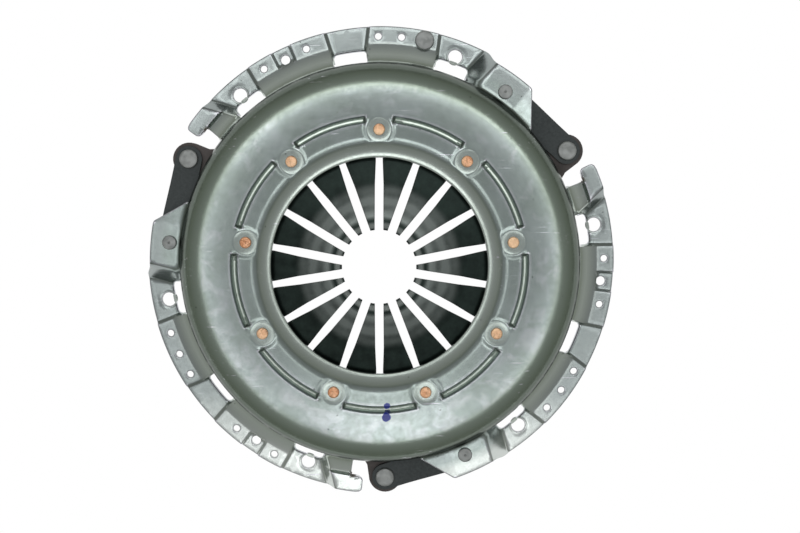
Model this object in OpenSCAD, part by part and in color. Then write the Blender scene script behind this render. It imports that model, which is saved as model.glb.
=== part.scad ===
// Clutch pressure plate for a truck engine: a pressed cover, a diaphragm spring held by nine
// rivets, a cast iron plate and three packs of drive straps.
// Origin: centre of the flywheel's mounting face. +Z points away from the flywheel.
// Everything on the rim repeats three times, so its angles are given within one third of a turn.

/* [Cover] */
// Diameter over the flange
flange_d = 359; // [340:1:380]
// Thickness of the cover's steel sheet
sheet_t = 4; // [3:0.5:5]
// Diameter of the pitch circle of the six bolt holes
bolt_pcd = 333; // [330:1:336]
// Diameter of a bolt hole
bolt_hole_d = 10.5; // [8.5:0.5:12.5]
// Diameter of the pitch circle of the dowel holes
dowel_pcd = 340.6; // [338:0.2:343]
// Diameter of a dowel hole
dowel_hole_d = 7; // [5:0.5:9]
// Diameter of a balance hole
balance_hole_d = 5.2; // [4:0.2:6]
// Outer diameter of the dome
dome_d = 300; // [294:1:304]
// Height of the dome's flat top over the mounting face
dome_h = 46; // [42:1:50]
// Radius of the dome's shoulder
shoulder_r = 19; // [12:1:22]
// Diameter of the hole that the fingers show through
lip_d = 158; // [150:1:164]
// Height of the raised lip over the dome's flat top
lip_rise = 4; // [2:0.5:6]
// Height of the balance flange over the bolt pads
flange_rise = 2; // [1:0.5:3]
// Height of the hooked tab over the bolt pads
hook_rise = 12; // [8:1:14]
// Height of the strap pads' underside over the mounting face
strap_pad_z = 26; // [25:0.5:27]
// Depth of the pressed beads that the spring rocks on
bead_depth = 3.8; // [3:0.2:4.4]

/* [Diaphragm spring] */
// Number of fingers
finger_count = 18; // [18]
// Thickness of the spring
spring_t = 3.2; // [2.4:0.2:3.6]
// Diameter of the spring's rim
spring_rim_d = 262; // [256:1:264]
// Diameter of the circle on which the spring rocks
fulcrum_d = 213.6; // [212:0.2:216]
// Diameter of the circle of the finger tips
tip_d = 54; // [44:1:64]
// Cone angle of the spring at rest
cone = 11; // [8:0.5:13]
// Extra slope of the fingers inside their bend
finger_bend = 6; // [3:0.5:8]
// Width of a slot between two fingers near the middle
slot_w = 6.3; // [5:0.1:6.6]
// Width of a slot where it passes under the lip
slot_root_w = 5; // [4:0.2:6]

/* [Rivets and wire ring] */
// Diameter of the circle of the nine fulcrum rivets
rivet_circle_d = 199.2; // [198:0.2:201]
// Diameter of a fulcrum rivet's shank
rivet_shank_d = 7.6; // [6:0.2:8]
// Diameter of a fulcrum rivet's copper head
rivet_head_d = 8.5; // [8:0.1:10]
// Diameter of the wire of the fulcrum ring
wire_d = 5; // [4:0.2:5.6]
// Diameter of a strap rivet's head on the cover
strap_rivet_head_d = 10.6; // [9:0.2:12]
// Diameter of a strap rivet's head on a lug
lug_rivet_head_d = 14; // [12:0.5:15]
// Diameter of the balance rivet's head
balance_rivet_head_d = 14.4; // [12:0.2:15]

/* [Drive straps] */
// Width of a strap
strap_w = 19.6; // [16:0.2:21]
// Thickness of one leaf
leaf_t = 0.8; // [0.6:0.1:1]
// Leaves in a pack
leaf_count = 3; // [3]
// Radius on which the cover end of a strap is riveted
strap_cover_r = 158; // [156:0.5:159]
// Radius on which the lug end of a strap is riveted
strap_lug_r = 163.6; // [162:0.2:165]

/* [Pressure plate] */
// Outer diameter of the cast ring
ring_od = 286; // [280:1:288]
// Inner diameter of the cast ring
ring_id = 186; // [180:1:196]
// Height of the friction face over the mounting face, with the clutch unbolted
friction_z = 3.5; // [2:0.5:5]
// Thickness of the cast ring beside its ridge
ring_t = 14; // [12:0.5:15]
// Diameter of the ridge that the spring's rim presses on
ridge_d = 254; // [250:1:256]
// Thickness of a lug
lug_t = 10; // [8:0.5:12]
// How far the plate travels from the unbolted position to full release
plate_travel = 6; // [4:0.5:6.5]

/* [Clearances] */
// Gap at rest between the spring and what it rocks on
fulcrum_gap = 0.35; // [0.3:0.05:0.5]
// Gap between a rivet and its hole
rivet_gap = 0.1; // [0.05:0.05:0.2]
// Gap between two spring segments
segment_gap = 0.4; // [0.3:0.05:0.6]
// Gap between a seated piece and its seat
seat_gap = 0.05; // [0.02:0.01:0.1]

/* [Hidden] */
$fn = 96;
cut = 1;
third = 120;

// Places round the rim, in degrees
bolt_a = 10;
bolt_b = 70;
hook_end = 25.2;
opening_end = 48.7;
strap_rivet_at = 54;
lug_rivet_at = 31.2;
plain_pad_at = 98.2;
dowel_at = 115.1;
balance_at = [78.7, 84.6, 90.5, 109.1, 121];
rivets_at = [for (k = [0:8]) 10 + 40 * k];

// Straps
pack_t = leaf_count * leaf_t;
strap_drop = 4;
strap_low_z = strap_pad_z - strap_drop - pack_t;
lug_top = strap_low_z;
strap_vec = polar(strap_lug_r, lug_rivet_at) - polar(strap_cover_r, strap_rivet_at);
strap_len = norm(strap_vec);
strap_dir = atan2(strap_vec[1], strap_vec[0]);
joggle_at = 10;
strap_shank_r = 3.6;
lug_shank_r = 4.6;

// Cover
flange_r = flange_d / 2;
dome_r = dome_d / 2;
lip_r = lip_d / 2;
lip_land = 1.8;
crease_r = lip_r + 11.4;
flat_r = dome_r - shoulder_r;
shoulder_z = dome_h - shoulder_r;
flange_top = flange_rise + sheet_t;
balance_r = bolt_pcd / 2 + 5.3;
// The flange stays flat under the balance rivet's head, then slopes up to the wall's foot
flange_crease_r = balance_r - balance_rivet_head_d / 2 - 0.3;
band_slope = 18;
foot_r = 8;
pad_in_r = bolt_pcd / 2 - 5.4;
dowel_pad_in_r = dowel_pcd / 2 - 3.3;
dowel_pad_half = 2.1;
hook_in_r = pad_in_r + 4.9;
hook_out_r = flange_r - 1;
hook_run = 7;
band_end = bolt_a + 12;
strap_pad_r = strap_cover_r + 14.5;
strap_pad_top = strap_pad_z + sheet_t;
step_w = 2.2;
dowel_step_w = 1.6;
coin_depth = 0.8;
coin_w = 1.6;
window_z = 14;
window_corner = 3;
// The lug passes through the wall, over the plate's whole travel
opening_in_r = dome_r - 14;
opening_out_r = dome_r + 3;
wall_cut_z = lug_top + plate_travel + 2.9;
// Pad that the straps are riveted under: its free edge, its root in the wall, its gusset and ramp
pad_edge_at = 49.5;
pad_root_r = wall_at(strap_pad_top) - 1.8;
gusset_run = 24;
gusset_rise = 4;
gusset_end = 41.8;
ramp_w = 13.5;
ramp_end = bolt_b - 3.2;
// How far one flat or folded piece reaches into the next, how much a fold's ends are pinched,
// and how far a piece runs past the outline that trims it
sunk = 0.05;
pinch = 0.2;
past = 4;
// Creases beside the pads, from [radius, angle] to [radius, angle]
pad_a_from = [[pad_in_r, bolt_a - 4.8], [flange_r, bolt_a - 5.3]];
pad_a_to = [[pad_in_r, bolt_a + 2.8], [flange_r, bolt_a + 6.3]];
pad_b_from = [[pad_in_r, bolt_b - 4.2], [flange_r, bolt_b - 6.3]];
pad_b_to = [[pad_in_r, bolt_b + 4.2], [flange_r, bolt_b + 5]];
plain_from = [[pad_in_r, plain_pad_at - 3.8], [flange_r, plain_pad_at - 5]];
plain_to = [[pad_in_r, plain_pad_at + 4.4], [flange_r, plain_pad_at + 5]];
dowel_from = [[dowel_pad_in_r, dowel_at - dowel_pad_half], [flange_r, dowel_at - dowel_pad_half]];
dowel_to = [[dowel_pad_in_r, dowel_at + dowel_pad_half], [flange_r, dowel_at + dowel_pad_half]];
fulcrum_r = fulcrum_d / 2;
bead_r = 5;
bead_half_w = 2.5;
bead_flank = 0.8;
bead_half_angle = 14.9;
bead_low = dome_h - sheet_t - bead_depth;
// Round land that is coined flat under each fulcrum rivet's head
land_r = rivet_head_d / 2 + 4.5;
land_z = dome_h - 0.35;

// Spring
finger_step = 360 / finger_count;
segment_half = finger_step / 2;
spring_rim_r = spring_rim_d / 2;
tip_r = tip_d / 2;
rocker = bead_r + spring_t / 2 + fulcrum_gap;
pivot_z = bead_low + bead_r - rocker / cos(cone);
wire_r = wire_d / 2;
wire_z = pivot_z - (wire_r + spring_t / 2 + fulcrum_gap) / cos(cone);
bend_r = 62;
rivet_circle_r = rivet_circle_d / 2;
rivet_shank_r = rivet_shank_d / 2;
rivet_neck_r = rivet_shank_r - 0.8;
rivet_foot_r = rivet_shank_r + 4.7;
rivet_foot_top = wire_z - wire_r - seat_gap;
rivet_foot_t = 3.5;
window_r = rivet_shank_r + 1.8;

// Plate
friction_r_in = ring_id / 2;
friction_r_out = ring_od / 2;
ring_top = friction_z + ring_t;
ridge_r = ridge_d / 2;
// The ring is relieved under the rivets, so that they clear it over the whole travel
relief_z = min(ring_top - 1.5, rivet_foot_top - rivet_foot_t - plate_travel - 1);
ridge_top = pivot_z - (ridge_r - fulcrum_r) * tan(cone) - (spring_t / 2 + fulcrum_gap) / cos(cone);
land_half = 5.5;
lug_end_r = strap_w / 2 + 2.6;

finger_names = [for (k = [1:finger_count]) str("diaphragm_finger_", k < 10 ? "0" : "", k)];
leaf_letters = ["lower", "middle", "upper"];
strap_names = [for (s = [0:2]) for (l = [0:leaf_count - 1])
    str("drive_strap_", s + 1, "_", leaf_letters[l])];

steel = [0.56, 0.59, 0.57];
dark_steel = [0.16, 0.19, 0.18];
blue_steel = [0.30, 0.32, 0.32];
iron = [0.33, 0.34, 0.34];
copper = [0.82, 0.52, 0.38];
wire_steel = [0.45, 0.46, 0.46];

function polar(r, a) = [r * cos(a), r * sin(a)];
function arc(c, r, a0, a1, n) = [for (i = [0:n]) c + polar(r, a0 + (a1 - a0) * i / n)];
function unit(v) = v / norm(v);
// Radius of the outside of the cover's wall and shoulder at a height
function wall_at(z) = z < shoulder_z ? dome_r : flat_r + sqrt(pow(shoulder_r, 2) - pow(z - shoulder_z, 2));

// Mitre vector at point i of a path, on the path's left
function mitre(p, i) =
    let (
        into = i == 0 ? unit(p[1] - p[0]) : unit(p[i] - p[i - 1]),
        out = i == len(p) - 1 ? into : unit(p[i + 1] - p[i]),
        n = [-into[1] - out[1], into[0] + out[0]]
    ) n / (1 + into * out);
function beside(p, d) = [for (i = [0:len(p) - 1]) p[i] + d * mitre(p, i)];
function backwards(p) = [for (i = [len(p) - 1:-1:0]) p[i]];
// Section of a sheet that lies between d0 and d1 on the left of a path
function sheet(p, d0, d1) = concat(beside(p, d0), backwards(beside(p, d1)));

module thirds() for (k = [0:2]) rotate([0, 0, third * k]) children();

// Solid of revolution from angle a0 to a1 whose section is a list of [radius, z]
module revolved(section, a0, a1)
    rotate([0, 0, a0]) rotate_extrude(angle = a1 - a0) polygon(section);

module ring_sector(r0, r1, a0, a1, z0, z1)
    revolved([[r0, z0], [r1, z0], [r1, z1], [r0, z1]], a0, a1);

// Plan of a ring sector with its four corners rounded
function rounded_outline(r0, r1, a0, a1, corner) =
    let (
        in_turn = asin(corner / (r0 + corner)),
        out_turn = asin(corner / (r1 - corner)),
        turned = function(r, a, from) arc(polar(r, a), corner, a + from, a + from + 90, 5),
        along = function(r, from, to) [for (f = [0.25:0.25:0.75]) polar(r, from + (to - from) * f)]
    ) concat(
        turned(r1 - corner, a0 + out_turn, -90), along(r1, a0 + out_turn, a1 - out_turn),
        turned(r1 - corner, a1 - out_turn, 0), turned(r0 + corner, a1 - in_turn, 90),
        along(r0, a1 - in_turn, a0 + in_turn), turned(r0 + corner, a0 + in_turn, 180));

module rounded_sector(r0, r1, a0, a1, corner, z0, z1)
    translate([0, 0, z0]) linear_extrude(z1 - z0) polygon(rounded_outline(r0, r1, a0, a1, corner));

module at(r, a, z) rotate([0, 0, a]) translate([r, 0, z]) children();

// Line from an inner to an outer [radius, angle] point, moved d to its counter-clockwise side
function crease(c, d = 0, more = 0) =
    let (
        p = polar(c[0][0], c[0][1]),
        q = polar(c[1][0], c[1][1]),
        u = unit(q - p),
        n = [-u[1], u[0]]
    ) [p + d * n - more * u, q + d * n + more * u];

// Flat piece of sheet between two such lines
module flat_piece(from, to, z)
    translate([0, 0, z]) linear_extrude(sheet_t) polygon(concat(from, backwards(to)));

// Sheet whose top climbs from z0 at a crease to z1 over a run: a positive run is counter-clockwise.
// Its ends reach into the flat pieces that it joins, pinched so that they disappear there.
module fold(c, run, z0, z1, tail = 1) {
    line = crease(c);
    v = line[1] - line[0];
    long = abs(run);
    slope = (z1 - z0) / long;
    bend = sheet_t * tan(atan(slope) / 2);
    translate(line[0]) rotate([0, 0, atan2(v[1], v[0])]) translate([-past, 0, 0])
        rotate([90, 0, 90]) linear_extrude(norm(v) + 2 * past) scale([sign(run), 1]) polygon([
            [-tail, z0 - 2 * pinch], [-pinch, z0 - pinch * slope],
            [long - sunk / 2, z1 - slope * sunk / 2], [long + tail, z1 - pinch],
            [long + tail, z1 - sheet_t + 2 * pinch], [long + bend + pinch, z1 - sheet_t + pinch * slope],
            [bend, z0 - sheet_t], [-tail, z0 - sheet_t + pinch]]);
}

// Top of the rim from its outer edge, up the sloping band, to the foot of the wall
function rim_top(top, edge_r, wall_r) =
    let (
        foot = wall_r + foot_r,
        rise = (flange_crease_r - foot) * tan(band_slope) + foot_r / cos(band_slope)
    ) concat([[edge_r, top], [flange_crease_r, top]],
        arc([foot, top + rise], foot_r, -90 - band_slope, -180, 5));

// Flange, wall, dome and lip, pressed from one sheet
module shell() rotate_extrude() polygon(sheet(concat(
    rim_top(flange_top, flange_r, dome_r),
    arc([flat_r, shoulder_z], shoulder_r, 0, 90, 10),
    [[crease_r, dome_h], [lip_r + lip_land, dome_h + lip_rise], [lip_r, dome_h + lip_rise]]), 0, sheet_t));

// Room in the flange between two creases
module flange_cut(from, to, in_r) linear_extrude(2 * foot_r, center = true) difference() {
    polygon(concat([from[0]], [for (f = [0:0.25:1]) let (
            a0 = atan2(from[1][1], from[1][0]), a1 = atan2(to[1][1], to[1][0])
        ) polar(flange_r + 9, a0 + ((a1 < a0 ? a1 + 360 : a1) - a0) * f)], [to[0]]));
    circle(r = in_r);
}

// Pads at the level of the mounting face, each with the steps up to the flange
module pads() {
    ends = flange_r - sunk;
    intersection() {
        union() {
            flat_piece(crease(pad_a_from, -sunk, past), crease(pad_a_to, sunk, past), 0);
            fold(pad_a_from, -step_w, sheet_t, flange_top);
            flat_piece(crease(pad_b_from, -sunk, past), crease(pad_b_to, sunk, past), 0);
            fold(pad_b_to, step_w, sheet_t, flange_top);
            flat_piece(crease(plain_from, -sunk, past), crease(plain_to, sunk, past), 0);
            fold(plain_from, -step_w, sheet_t, flange_top);
            fold(plain_to, step_w, sheet_t, flange_top);
        }
        ring_sector(pad_in_r - 2, ends, bolt_a - 10, plain_pad_at + 10, -cut, flange_top + cut);
    }
    intersection() {
        union() {
            flat_piece(crease(dowel_from, -sunk, past), crease(dowel_to, sunk, past), 0);
            fold(dowel_from, -dowel_step_w, sheet_t, flange_top);
            fold(dowel_to, dowel_step_w, sheet_t, flange_top);
        }
        ring_sector(dowel_pad_in_r - 1, ends, dowel_at - 5, dowel_at + 5, -cut, flange_top + cut);
    }
}

// Room for the pads, the windows behind them, the hook, the lug and the straps
module rim_cuts() {
    flange_cut(crease(pad_a_from, sunk - step_w), crease(pad_b_to, step_w - sunk), pad_in_r - 1);
    flange_cut(crease(plain_from, sunk - step_w), crease(plain_to, step_w - sunk), pad_in_r - 1);
    flange_cut(crease(dowel_from, sunk - dowel_step_w), crease(dowel_to, dowel_step_w - sunk),
        dowel_pad_in_r);
    ring_sector(dome_r - 2 * sheet_t, pad_in_r + 1, bolt_a - 4, bolt_b + 3.6, -cut, window_z - 1);
    ring_sector(opening_in_r, opening_out_r, band_end - 1, strap_rivet_at + 9, -cut, strap_pad_z + 0.5);
    ring_sector(opening_in_r, opening_out_r, band_end + 1, opening_end, -cut, wall_cut_z);
}

// Groove pressed into the dome's top, or the round rib that it makes below
module bead(deep) {
    top_w = bead_half_w;
    low_w = bead_half_w - bead_flank;
    section = deep
        ? [[fulcrum_r - top_w, dome_h + cut], [fulcrum_r - low_w, bead_low + sheet_t],
           [fulcrum_r + low_w, bead_low + sheet_t], [fulcrum_r + top_w, dome_h + cut]]
        : concat(arc([fulcrum_r, bead_low + bead_r], bead_r, -180, 0, 10),
            [[fulcrum_r + bead_r, dome_h - 1], [fulcrum_r - bead_r, dome_h - 1]]);
    half = bead_half_angle + (deep ? 0 : 0.8);
    for (a = rivets_at) revolved(section, a + 20 - half, a + 20 + half);
}

// Pad that the straps are riveted under, with its gusset and the ramp down to the bolt pad
module strap_pad() {
    edge = [[pad_root_r, pad_edge_at], [strap_pad_r, pad_edge_at]];
    intersection() {
        flat_piece(crease(edge, -sunk, 0), crease(pad_b_from, sunk - ramp_w, 10), strap_pad_z);
        ring_sector(pad_root_r, strap_pad_r, pad_edge_at - 4.5, bolt_b - 5, 0, dome_h);
    }
    // Gusset that stiffens the pad's free edge
    intersection() {
        fold(edge, -gusset_run, strap_pad_top, strap_pad_top + gusset_rise);
        linear_extrude(dome_h) polygon([polar(pad_root_r + 0.2, pad_edge_at + 0.3),
            polar(strap_pad_r - 0.5, pad_edge_at + 0.3), polar(strap_pad_r - 1.5, opening_end),
            polar(pad_root_r + 0.2, gusset_end)]);
    }
    // Ramp, whose outer edge runs out from the pad to the flange
    intersection() {
        fold(pad_b_from, -ramp_w, sheet_t, strap_pad_top);
        linear_extrude(dome_h) polygon([polar(pad_root_r + 0.2, strap_rivet_at + 5),
            polar(strap_pad_r - 0.4, strap_rivet_at + 3.5), polar(strap_pad_r - 0.2, bolt_b - 10),
            polar(flange_r - 0.4, bolt_b - 6), polar(pad_in_r, ramp_end),
            polar(pad_root_r + 0.2, ramp_end)]);
    }
}

module hook() {
    // Raised tab that ends free, over the lug opening
    rounded_sector(hook_in_r, hook_out_r, bolt_a + 8, hook_end, 2.5, hook_rise, hook_rise + sheet_t);
    // Part of the band beside it
    revolved(sheet(rim_top(hook_rise + sheet_t - 3, hook_in_r + 1, dome_r - 0.5), 0, sheet_t),
        bolt_a + 6, band_end);
    intersection() {
        fold(pad_a_to, hook_run, sheet_t, hook_rise + sheet_t, 3);
        ring_sector(pad_in_r - 4, hook_out_r + 0.3, bolt_a, band_end, -cut, dome_h);
    }
}

// Windows in the foot of the wall, one behind each wide pad
module windows() for (w = [[bolt_a, -5, 3.4], [bolt_b, -4.6, 4.4], [plain_pad_at, -4.4, 4.6]])
    rounded_sector(dome_r - 2 * sheet_t, pad_in_r, w[0] + w[1], w[0] + w[2],
        window_corner, -cut, window_z);

module cover() color(steel) difference() {
    union() {
        difference() {
            union() {
                shell();
                bead(false);
            }
            thirds() rim_cuts();
        }
        thirds() {
            pads();
            strap_pad();
            hook();
        }
    }
    bead(true);
    thirds() {
        windows();
        for (a = [bolt_a, bolt_b]) at(bolt_pcd / 2, a, 0) {
            translate([0, 0, -cut]) cylinder(d = bolt_hole_d, h = sheet_t + 2 * cut);
            translate([0, 0, sheet_t - coin_depth])
                cylinder(d1 = bolt_hole_d, d2 = bolt_hole_d + 2 * coin_w, h = coin_depth + 0.01);
        }
        at(dowel_pcd / 2, dowel_at, -cut) cylinder(d = dowel_hole_d, h = dome_h);
        for (a = balance_at) at(balance_r, a, -cut) cylinder(d = balance_hole_d, h = dome_h);
        at(strap_cover_r, strap_rivet_at, strap_pad_z - cut)
            cylinder(r = strap_shank_r + rivet_gap, h = sheet_t + 2 * cut);
    }
    for (a = rivets_at) at(rivet_circle_r, a, 0) {
        cylinder(r = rivet_neck_r + rivet_gap, h = dome_h + cut);
        translate([0, 0, land_z]) cylinder(r = land_r, h = cut);
    }
}

// Shouldered rivets: a broad foot under the wire ring, a neck through the dome, a copper head on top
module fulcrum_rivets() color(copper) for (a = rivets_at) at(rivet_circle_r, a, 0) {
    low = rivet_foot_top - rivet_foot_t;
    shoulder = dome_h - sheet_t - seat_gap;
    head_r = rivet_head_d / 2;
    rotate_extrude() polygon([
        [0, low], [rivet_foot_r - 1.5, low], [rivet_foot_r, low + 1.1],
        [rivet_foot_r, rivet_foot_top], [rivet_shank_r, rivet_foot_top],
        [rivet_shank_r, shoulder], [rivet_neck_r, shoulder],
        [rivet_neck_r, land_z + seat_gap], [head_r, land_z + seat_gap],
        [head_r, land_z + 1.2], [head_r - 1, land_z + 1.9], [0, land_z + 2.1]]);
}

module fulcrum_wire_ring() color(wire_steel)
    rotate_extrude() translate([fulcrum_r, wire_z]) circle(r = wire_r);

module strap_rivets() color(blue_steel) thirds() at(strap_cover_r, strap_rivet_at, 0) {
    low = strap_pad_z - pack_t - seat_gap;
    head_r = strap_rivet_head_d / 2;
    rotate_extrude() polygon([
        [0, low - 2.4], [head_r - 0.8, low - 2.4], [head_r, low - 1.8], [head_r, low],
        [strap_shank_r, low], [strap_shank_r, strap_pad_top + seat_gap],
        [head_r, strap_pad_top + seat_gap], [head_r, strap_pad_top + 1.6],
        [head_r - 0.8, strap_pad_top + 2.2], [0.8, strap_pad_top + 2.2], [0, strap_pad_top + 1.4]]);
}

module balance_rivet() color(blue_steel) at(balance_r, balance_at[0], 0) {
    head_r = balance_rivet_head_d / 2;
    shank_r = balance_hole_d / 2 - rivet_gap;
    rotate_extrude() polygon([
        [0, flange_rise - 1.6], [shank_r + 1.4, flange_rise - 1.6], [shank_r + 1.8, flange_rise - seat_gap],
        [shank_r, flange_rise - seat_gap], [shank_r, flange_top + seat_gap],
        [head_r, flange_top + seat_gap], [head_r, flange_top + 2.6],
        [head_r - 0.8, flange_top + 3.4], [0, flange_top + 3.4]]);
}

// One leaf of a strap pack, cranked down from the cover's pad to the plate's lug
module strap_leaf(level) {
    reach = strap_w / 2;
    rise = level * leaf_t;
    path = [[-reach - cut, strap_pad_z - pack_t], [joggle_at, strap_pad_z - pack_t],
        [strap_len - joggle_at, strap_low_z], [strap_len + reach + cut, strap_low_z]];
    at(strap_cover_r, strap_rivet_at, 0) rotate([0, 0, strap_dir - strap_rivet_at]) difference() {
        intersection() {
            rotate([90, 0, 0]) translate([0, 0, -reach]) linear_extrude(strap_w)
                polygon(sheet(path, rise, rise + leaf_t));
            union() {
                cylinder(r = reach, h = dome_h);
                translate([strap_len, 0, 0]) cylinder(r = reach, h = dome_h);
                translate([0, -reach, 0]) cube([strap_len, strap_w, dome_h]);
            }
        }
        cylinder(r = strap_shank_r + rivet_gap, h = dome_h);
        translate([strap_len, 0, 0]) cylinder(r = lug_shank_r + rivet_gap, h = dome_h);
    }
}

module drive_strap(s, level) color(blue_steel) rotate([0, 0, third * s]) strap_leaf(level);

module lug() translate([0, 0, lug_top - lug_t]) linear_extrude(lug_t) polygon(concat(
    [polar(friction_r_out - 6, lug_rivet_at - 9), polar(friction_r_out + 3, lug_rivet_at - 7.5),
        polar(dome_r + 5, lug_rivet_at - 5)],
    arc(polar(strap_lug_r, lug_rivet_at), lug_end_r, lug_rivet_at - 90, lug_rivet_at + 90, 16),
    [polar(dome_r + 2, lug_rivet_at + 6), polar(friction_r_out - 6, lug_rivet_at + 9)]));

module pressure_plate() color(iron) difference() {
    union() {
        rotate_extrude() polygon([
            [friction_r_in, friction_z + 1], [friction_r_in + 1, friction_z],
            [friction_r_out - 1, friction_z], [friction_r_out, friction_z + 1],
            [friction_r_out, ring_top - 2], [friction_r_out - 2, ring_top],
            [ridge_r + 7, ring_top], [ridge_r + 5, ring_top + 3], [ridge_r - 5, ring_top + 3],
            [ridge_r - 8, ring_top], [rivet_circle_r + rivet_foot_r + 1, relief_z],
            [friction_r_in + 3, relief_z], [friction_r_in, relief_z - 2.5]]);
        // Lands of the ridge, one under the middle of each finger
        for (k = [0:finger_count - 1])
            revolved(concat([[ridge_r + 4, ring_top + 2]],
                arc([ridge_r, ridge_top - 3], 3, 0, 180, 8), [[ridge_r - 4, ring_top + 2]]),
                finger_step * k - land_half, finger_step * k + land_half);
        thirds() lug();
    }
    thirds() at(strap_lug_r, lug_rivet_at, 0) {
        cylinder(r = lug_shank_r + rivet_gap, h = dome_h);
        cylinder(d = lug_rivet_head_d + 1, h = lug_top - lug_t + 2.5);
    }
}

module lug_rivets() color(blue_steel) thirds() at(strap_lug_r, lug_rivet_at, 0) {
    head_r = lug_rivet_head_d / 2;
    low = lug_top - lug_t + 2.5 - seat_gap;
    high = lug_top + pack_t + seat_gap;
    rotate_extrude() polygon([
        [0, low - 2.2], [head_r - 1, low - 2.2], [head_r, low - 1.4], [head_r, low],
        [lug_shank_r, low], [lug_shank_r, high], [head_r, high],
        [head_r, high + 1.6], [head_r - 1.4, high + 2.4], [0, high + 2.4]]);
}

// Slot between two fingers, along +X: straight, then tapered, then a round window
module slot() linear_extrude(2 * dome_h) {
    polygon([[0, -slot_w / 2], [60, -slot_w / 2], [lip_r - 2, -slot_root_w / 2],
        [rivet_circle_r, -slot_root_w / 2], [rivet_circle_r, -segment_gap / 2],
        [spring_rim_r + 5, -segment_gap / 2], [spring_rim_r + 5, segment_gap / 2],
        [rivet_circle_r, segment_gap / 2], [rivet_circle_r, slot_root_w / 2],
        [lip_r - 2, slot_root_w / 2], [60, slot_w / 2], [0, slot_w / 2]]);
    translate([rivet_circle_r, 0]) circle(r = window_r);
}

// Height of the spring's middle surface on its cone
function cone_z(r) = pivot_z + (fulcrum_r - r) * tan(cone);

// One finger with its share of the spring's ring
module diaphragm_finger() color(dark_steel) {
    crown_r = tip_r + 12;
    steep = tan(cone + finger_bend);
    crown_z = cone_z(bend_r) + (bend_r - crown_r) * steep;
    middle = [[spring_rim_r, cone_z(spring_rim_r)], [bend_r + 5, cone_z(bend_r + 5)],
        [bend_r - 5, cone_z(bend_r) + 5 * steep], [crown_r, crown_z],
        [tip_r + 5, crown_z + 7 * tan(cone + 1)], [tip_r, crown_z + 7 * tan(cone + 1)]];
    difference() {
        revolved(sheet(middle, -spring_t / 2, spring_t / 2), -segment_half, segment_half);
        for (a = [-segment_half, segment_half]) rotate([0, 0, a]) slot();
    }
}

cover();
fulcrum_rivets();
fulcrum_wire_ring();
strap_rivets();
balance_rivet();
for (s = [0:2]) for (l = [0:leaf_count - 1])
    drive_strap(s, l);
pressure_plate();
lug_rivets();
for (k = [0:finger_count - 1])
    rotate([0, 0, finger_step * k]) diaphragm_finger();
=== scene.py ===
import math
import bmesh
import bpy
import numpy as np
from mathutils import Matrix, Vector
from mathutils.geometry import delaunay_2d_cdt
from mathutils.kdtree import KDTree


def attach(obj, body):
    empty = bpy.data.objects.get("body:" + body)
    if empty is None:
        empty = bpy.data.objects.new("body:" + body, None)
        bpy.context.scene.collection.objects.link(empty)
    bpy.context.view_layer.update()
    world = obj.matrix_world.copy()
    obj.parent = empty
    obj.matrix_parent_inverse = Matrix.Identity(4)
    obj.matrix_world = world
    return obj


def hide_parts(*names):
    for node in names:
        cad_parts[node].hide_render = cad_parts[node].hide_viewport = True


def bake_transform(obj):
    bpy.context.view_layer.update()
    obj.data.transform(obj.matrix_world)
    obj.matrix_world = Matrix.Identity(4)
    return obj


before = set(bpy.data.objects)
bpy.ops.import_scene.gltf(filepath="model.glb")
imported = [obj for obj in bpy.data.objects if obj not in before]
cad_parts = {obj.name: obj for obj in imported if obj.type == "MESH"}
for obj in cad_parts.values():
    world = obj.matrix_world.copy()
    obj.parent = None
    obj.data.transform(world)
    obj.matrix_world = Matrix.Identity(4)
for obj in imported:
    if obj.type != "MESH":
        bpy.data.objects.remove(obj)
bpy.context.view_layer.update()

# Camera. It looks straight down on the cover from a little over 0.8 m, tilted a few degrees.
# MM turns the millimetres that every size below is given in to metres.
MM = 0.001
camera_distance = 843 * MM
tilt_back = math.radians(4.30)
tilt_side = math.radians(0.29)
aim_x, aim_y = 14.9 * MM, -3.7 * MM
camera_right = Vector((math.cos(tilt_side), -math.sin(tilt_side) * math.sin(tilt_back),
                       -math.sin(tilt_side) * math.cos(tilt_back)))
camera_up = Vector((0, math.cos(tilt_back), -math.sin(tilt_back)))
camera_back = camera_right.cross(camera_up)
camera_data = bpy.data.cameras.new("camera")
camera_data.lens = 48.95
camera_data.sensor_width = 36
camera_data.clip_end = 40
camera = bpy.data.objects.new("camera", camera_data)
bpy.context.scene.collection.objects.link(camera)
camera_pose = Matrix((camera_right, camera_up, camera_back)).transposed().to_4x4()
camera_pose.translation = aim_x * camera_right + aim_y * camera_up + camera_distance * camera_back
camera.matrix_world = camera_pose
bpy.context.scene.camera = camera
bpy.context.scene.view_settings.view_transform = "Standard"


# Cover. One piece of 4 mm drawing steel, blanked, deep drawn and pierced: a dome with a lip and nine
# beads, and a rim of pads, steps, hooks and strap pads that repeats three times. All sizes in mm.
sheet_t = 4
lip_r, lip_crease_r, lip_rise = 79, 90.4, 4
dome_h, dome_r, shoulder_r = 46, 150, 19
flat_r, shoulder_z = dome_r - shoulder_r, dome_h - shoulder_r
flange_r, flange_top, pad_top = 179.4, 6, 4
hook_top, hook_r, band_drop = 16, 178.4, 3
strap_pad_top, strap_pad_r, gusset_rise = 30, 172.4, 4
pad_in_r, band_r, band_slope, foot_r, tight_foot_r = 161.1, 166.0, 0.30, 8, 2
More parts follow.
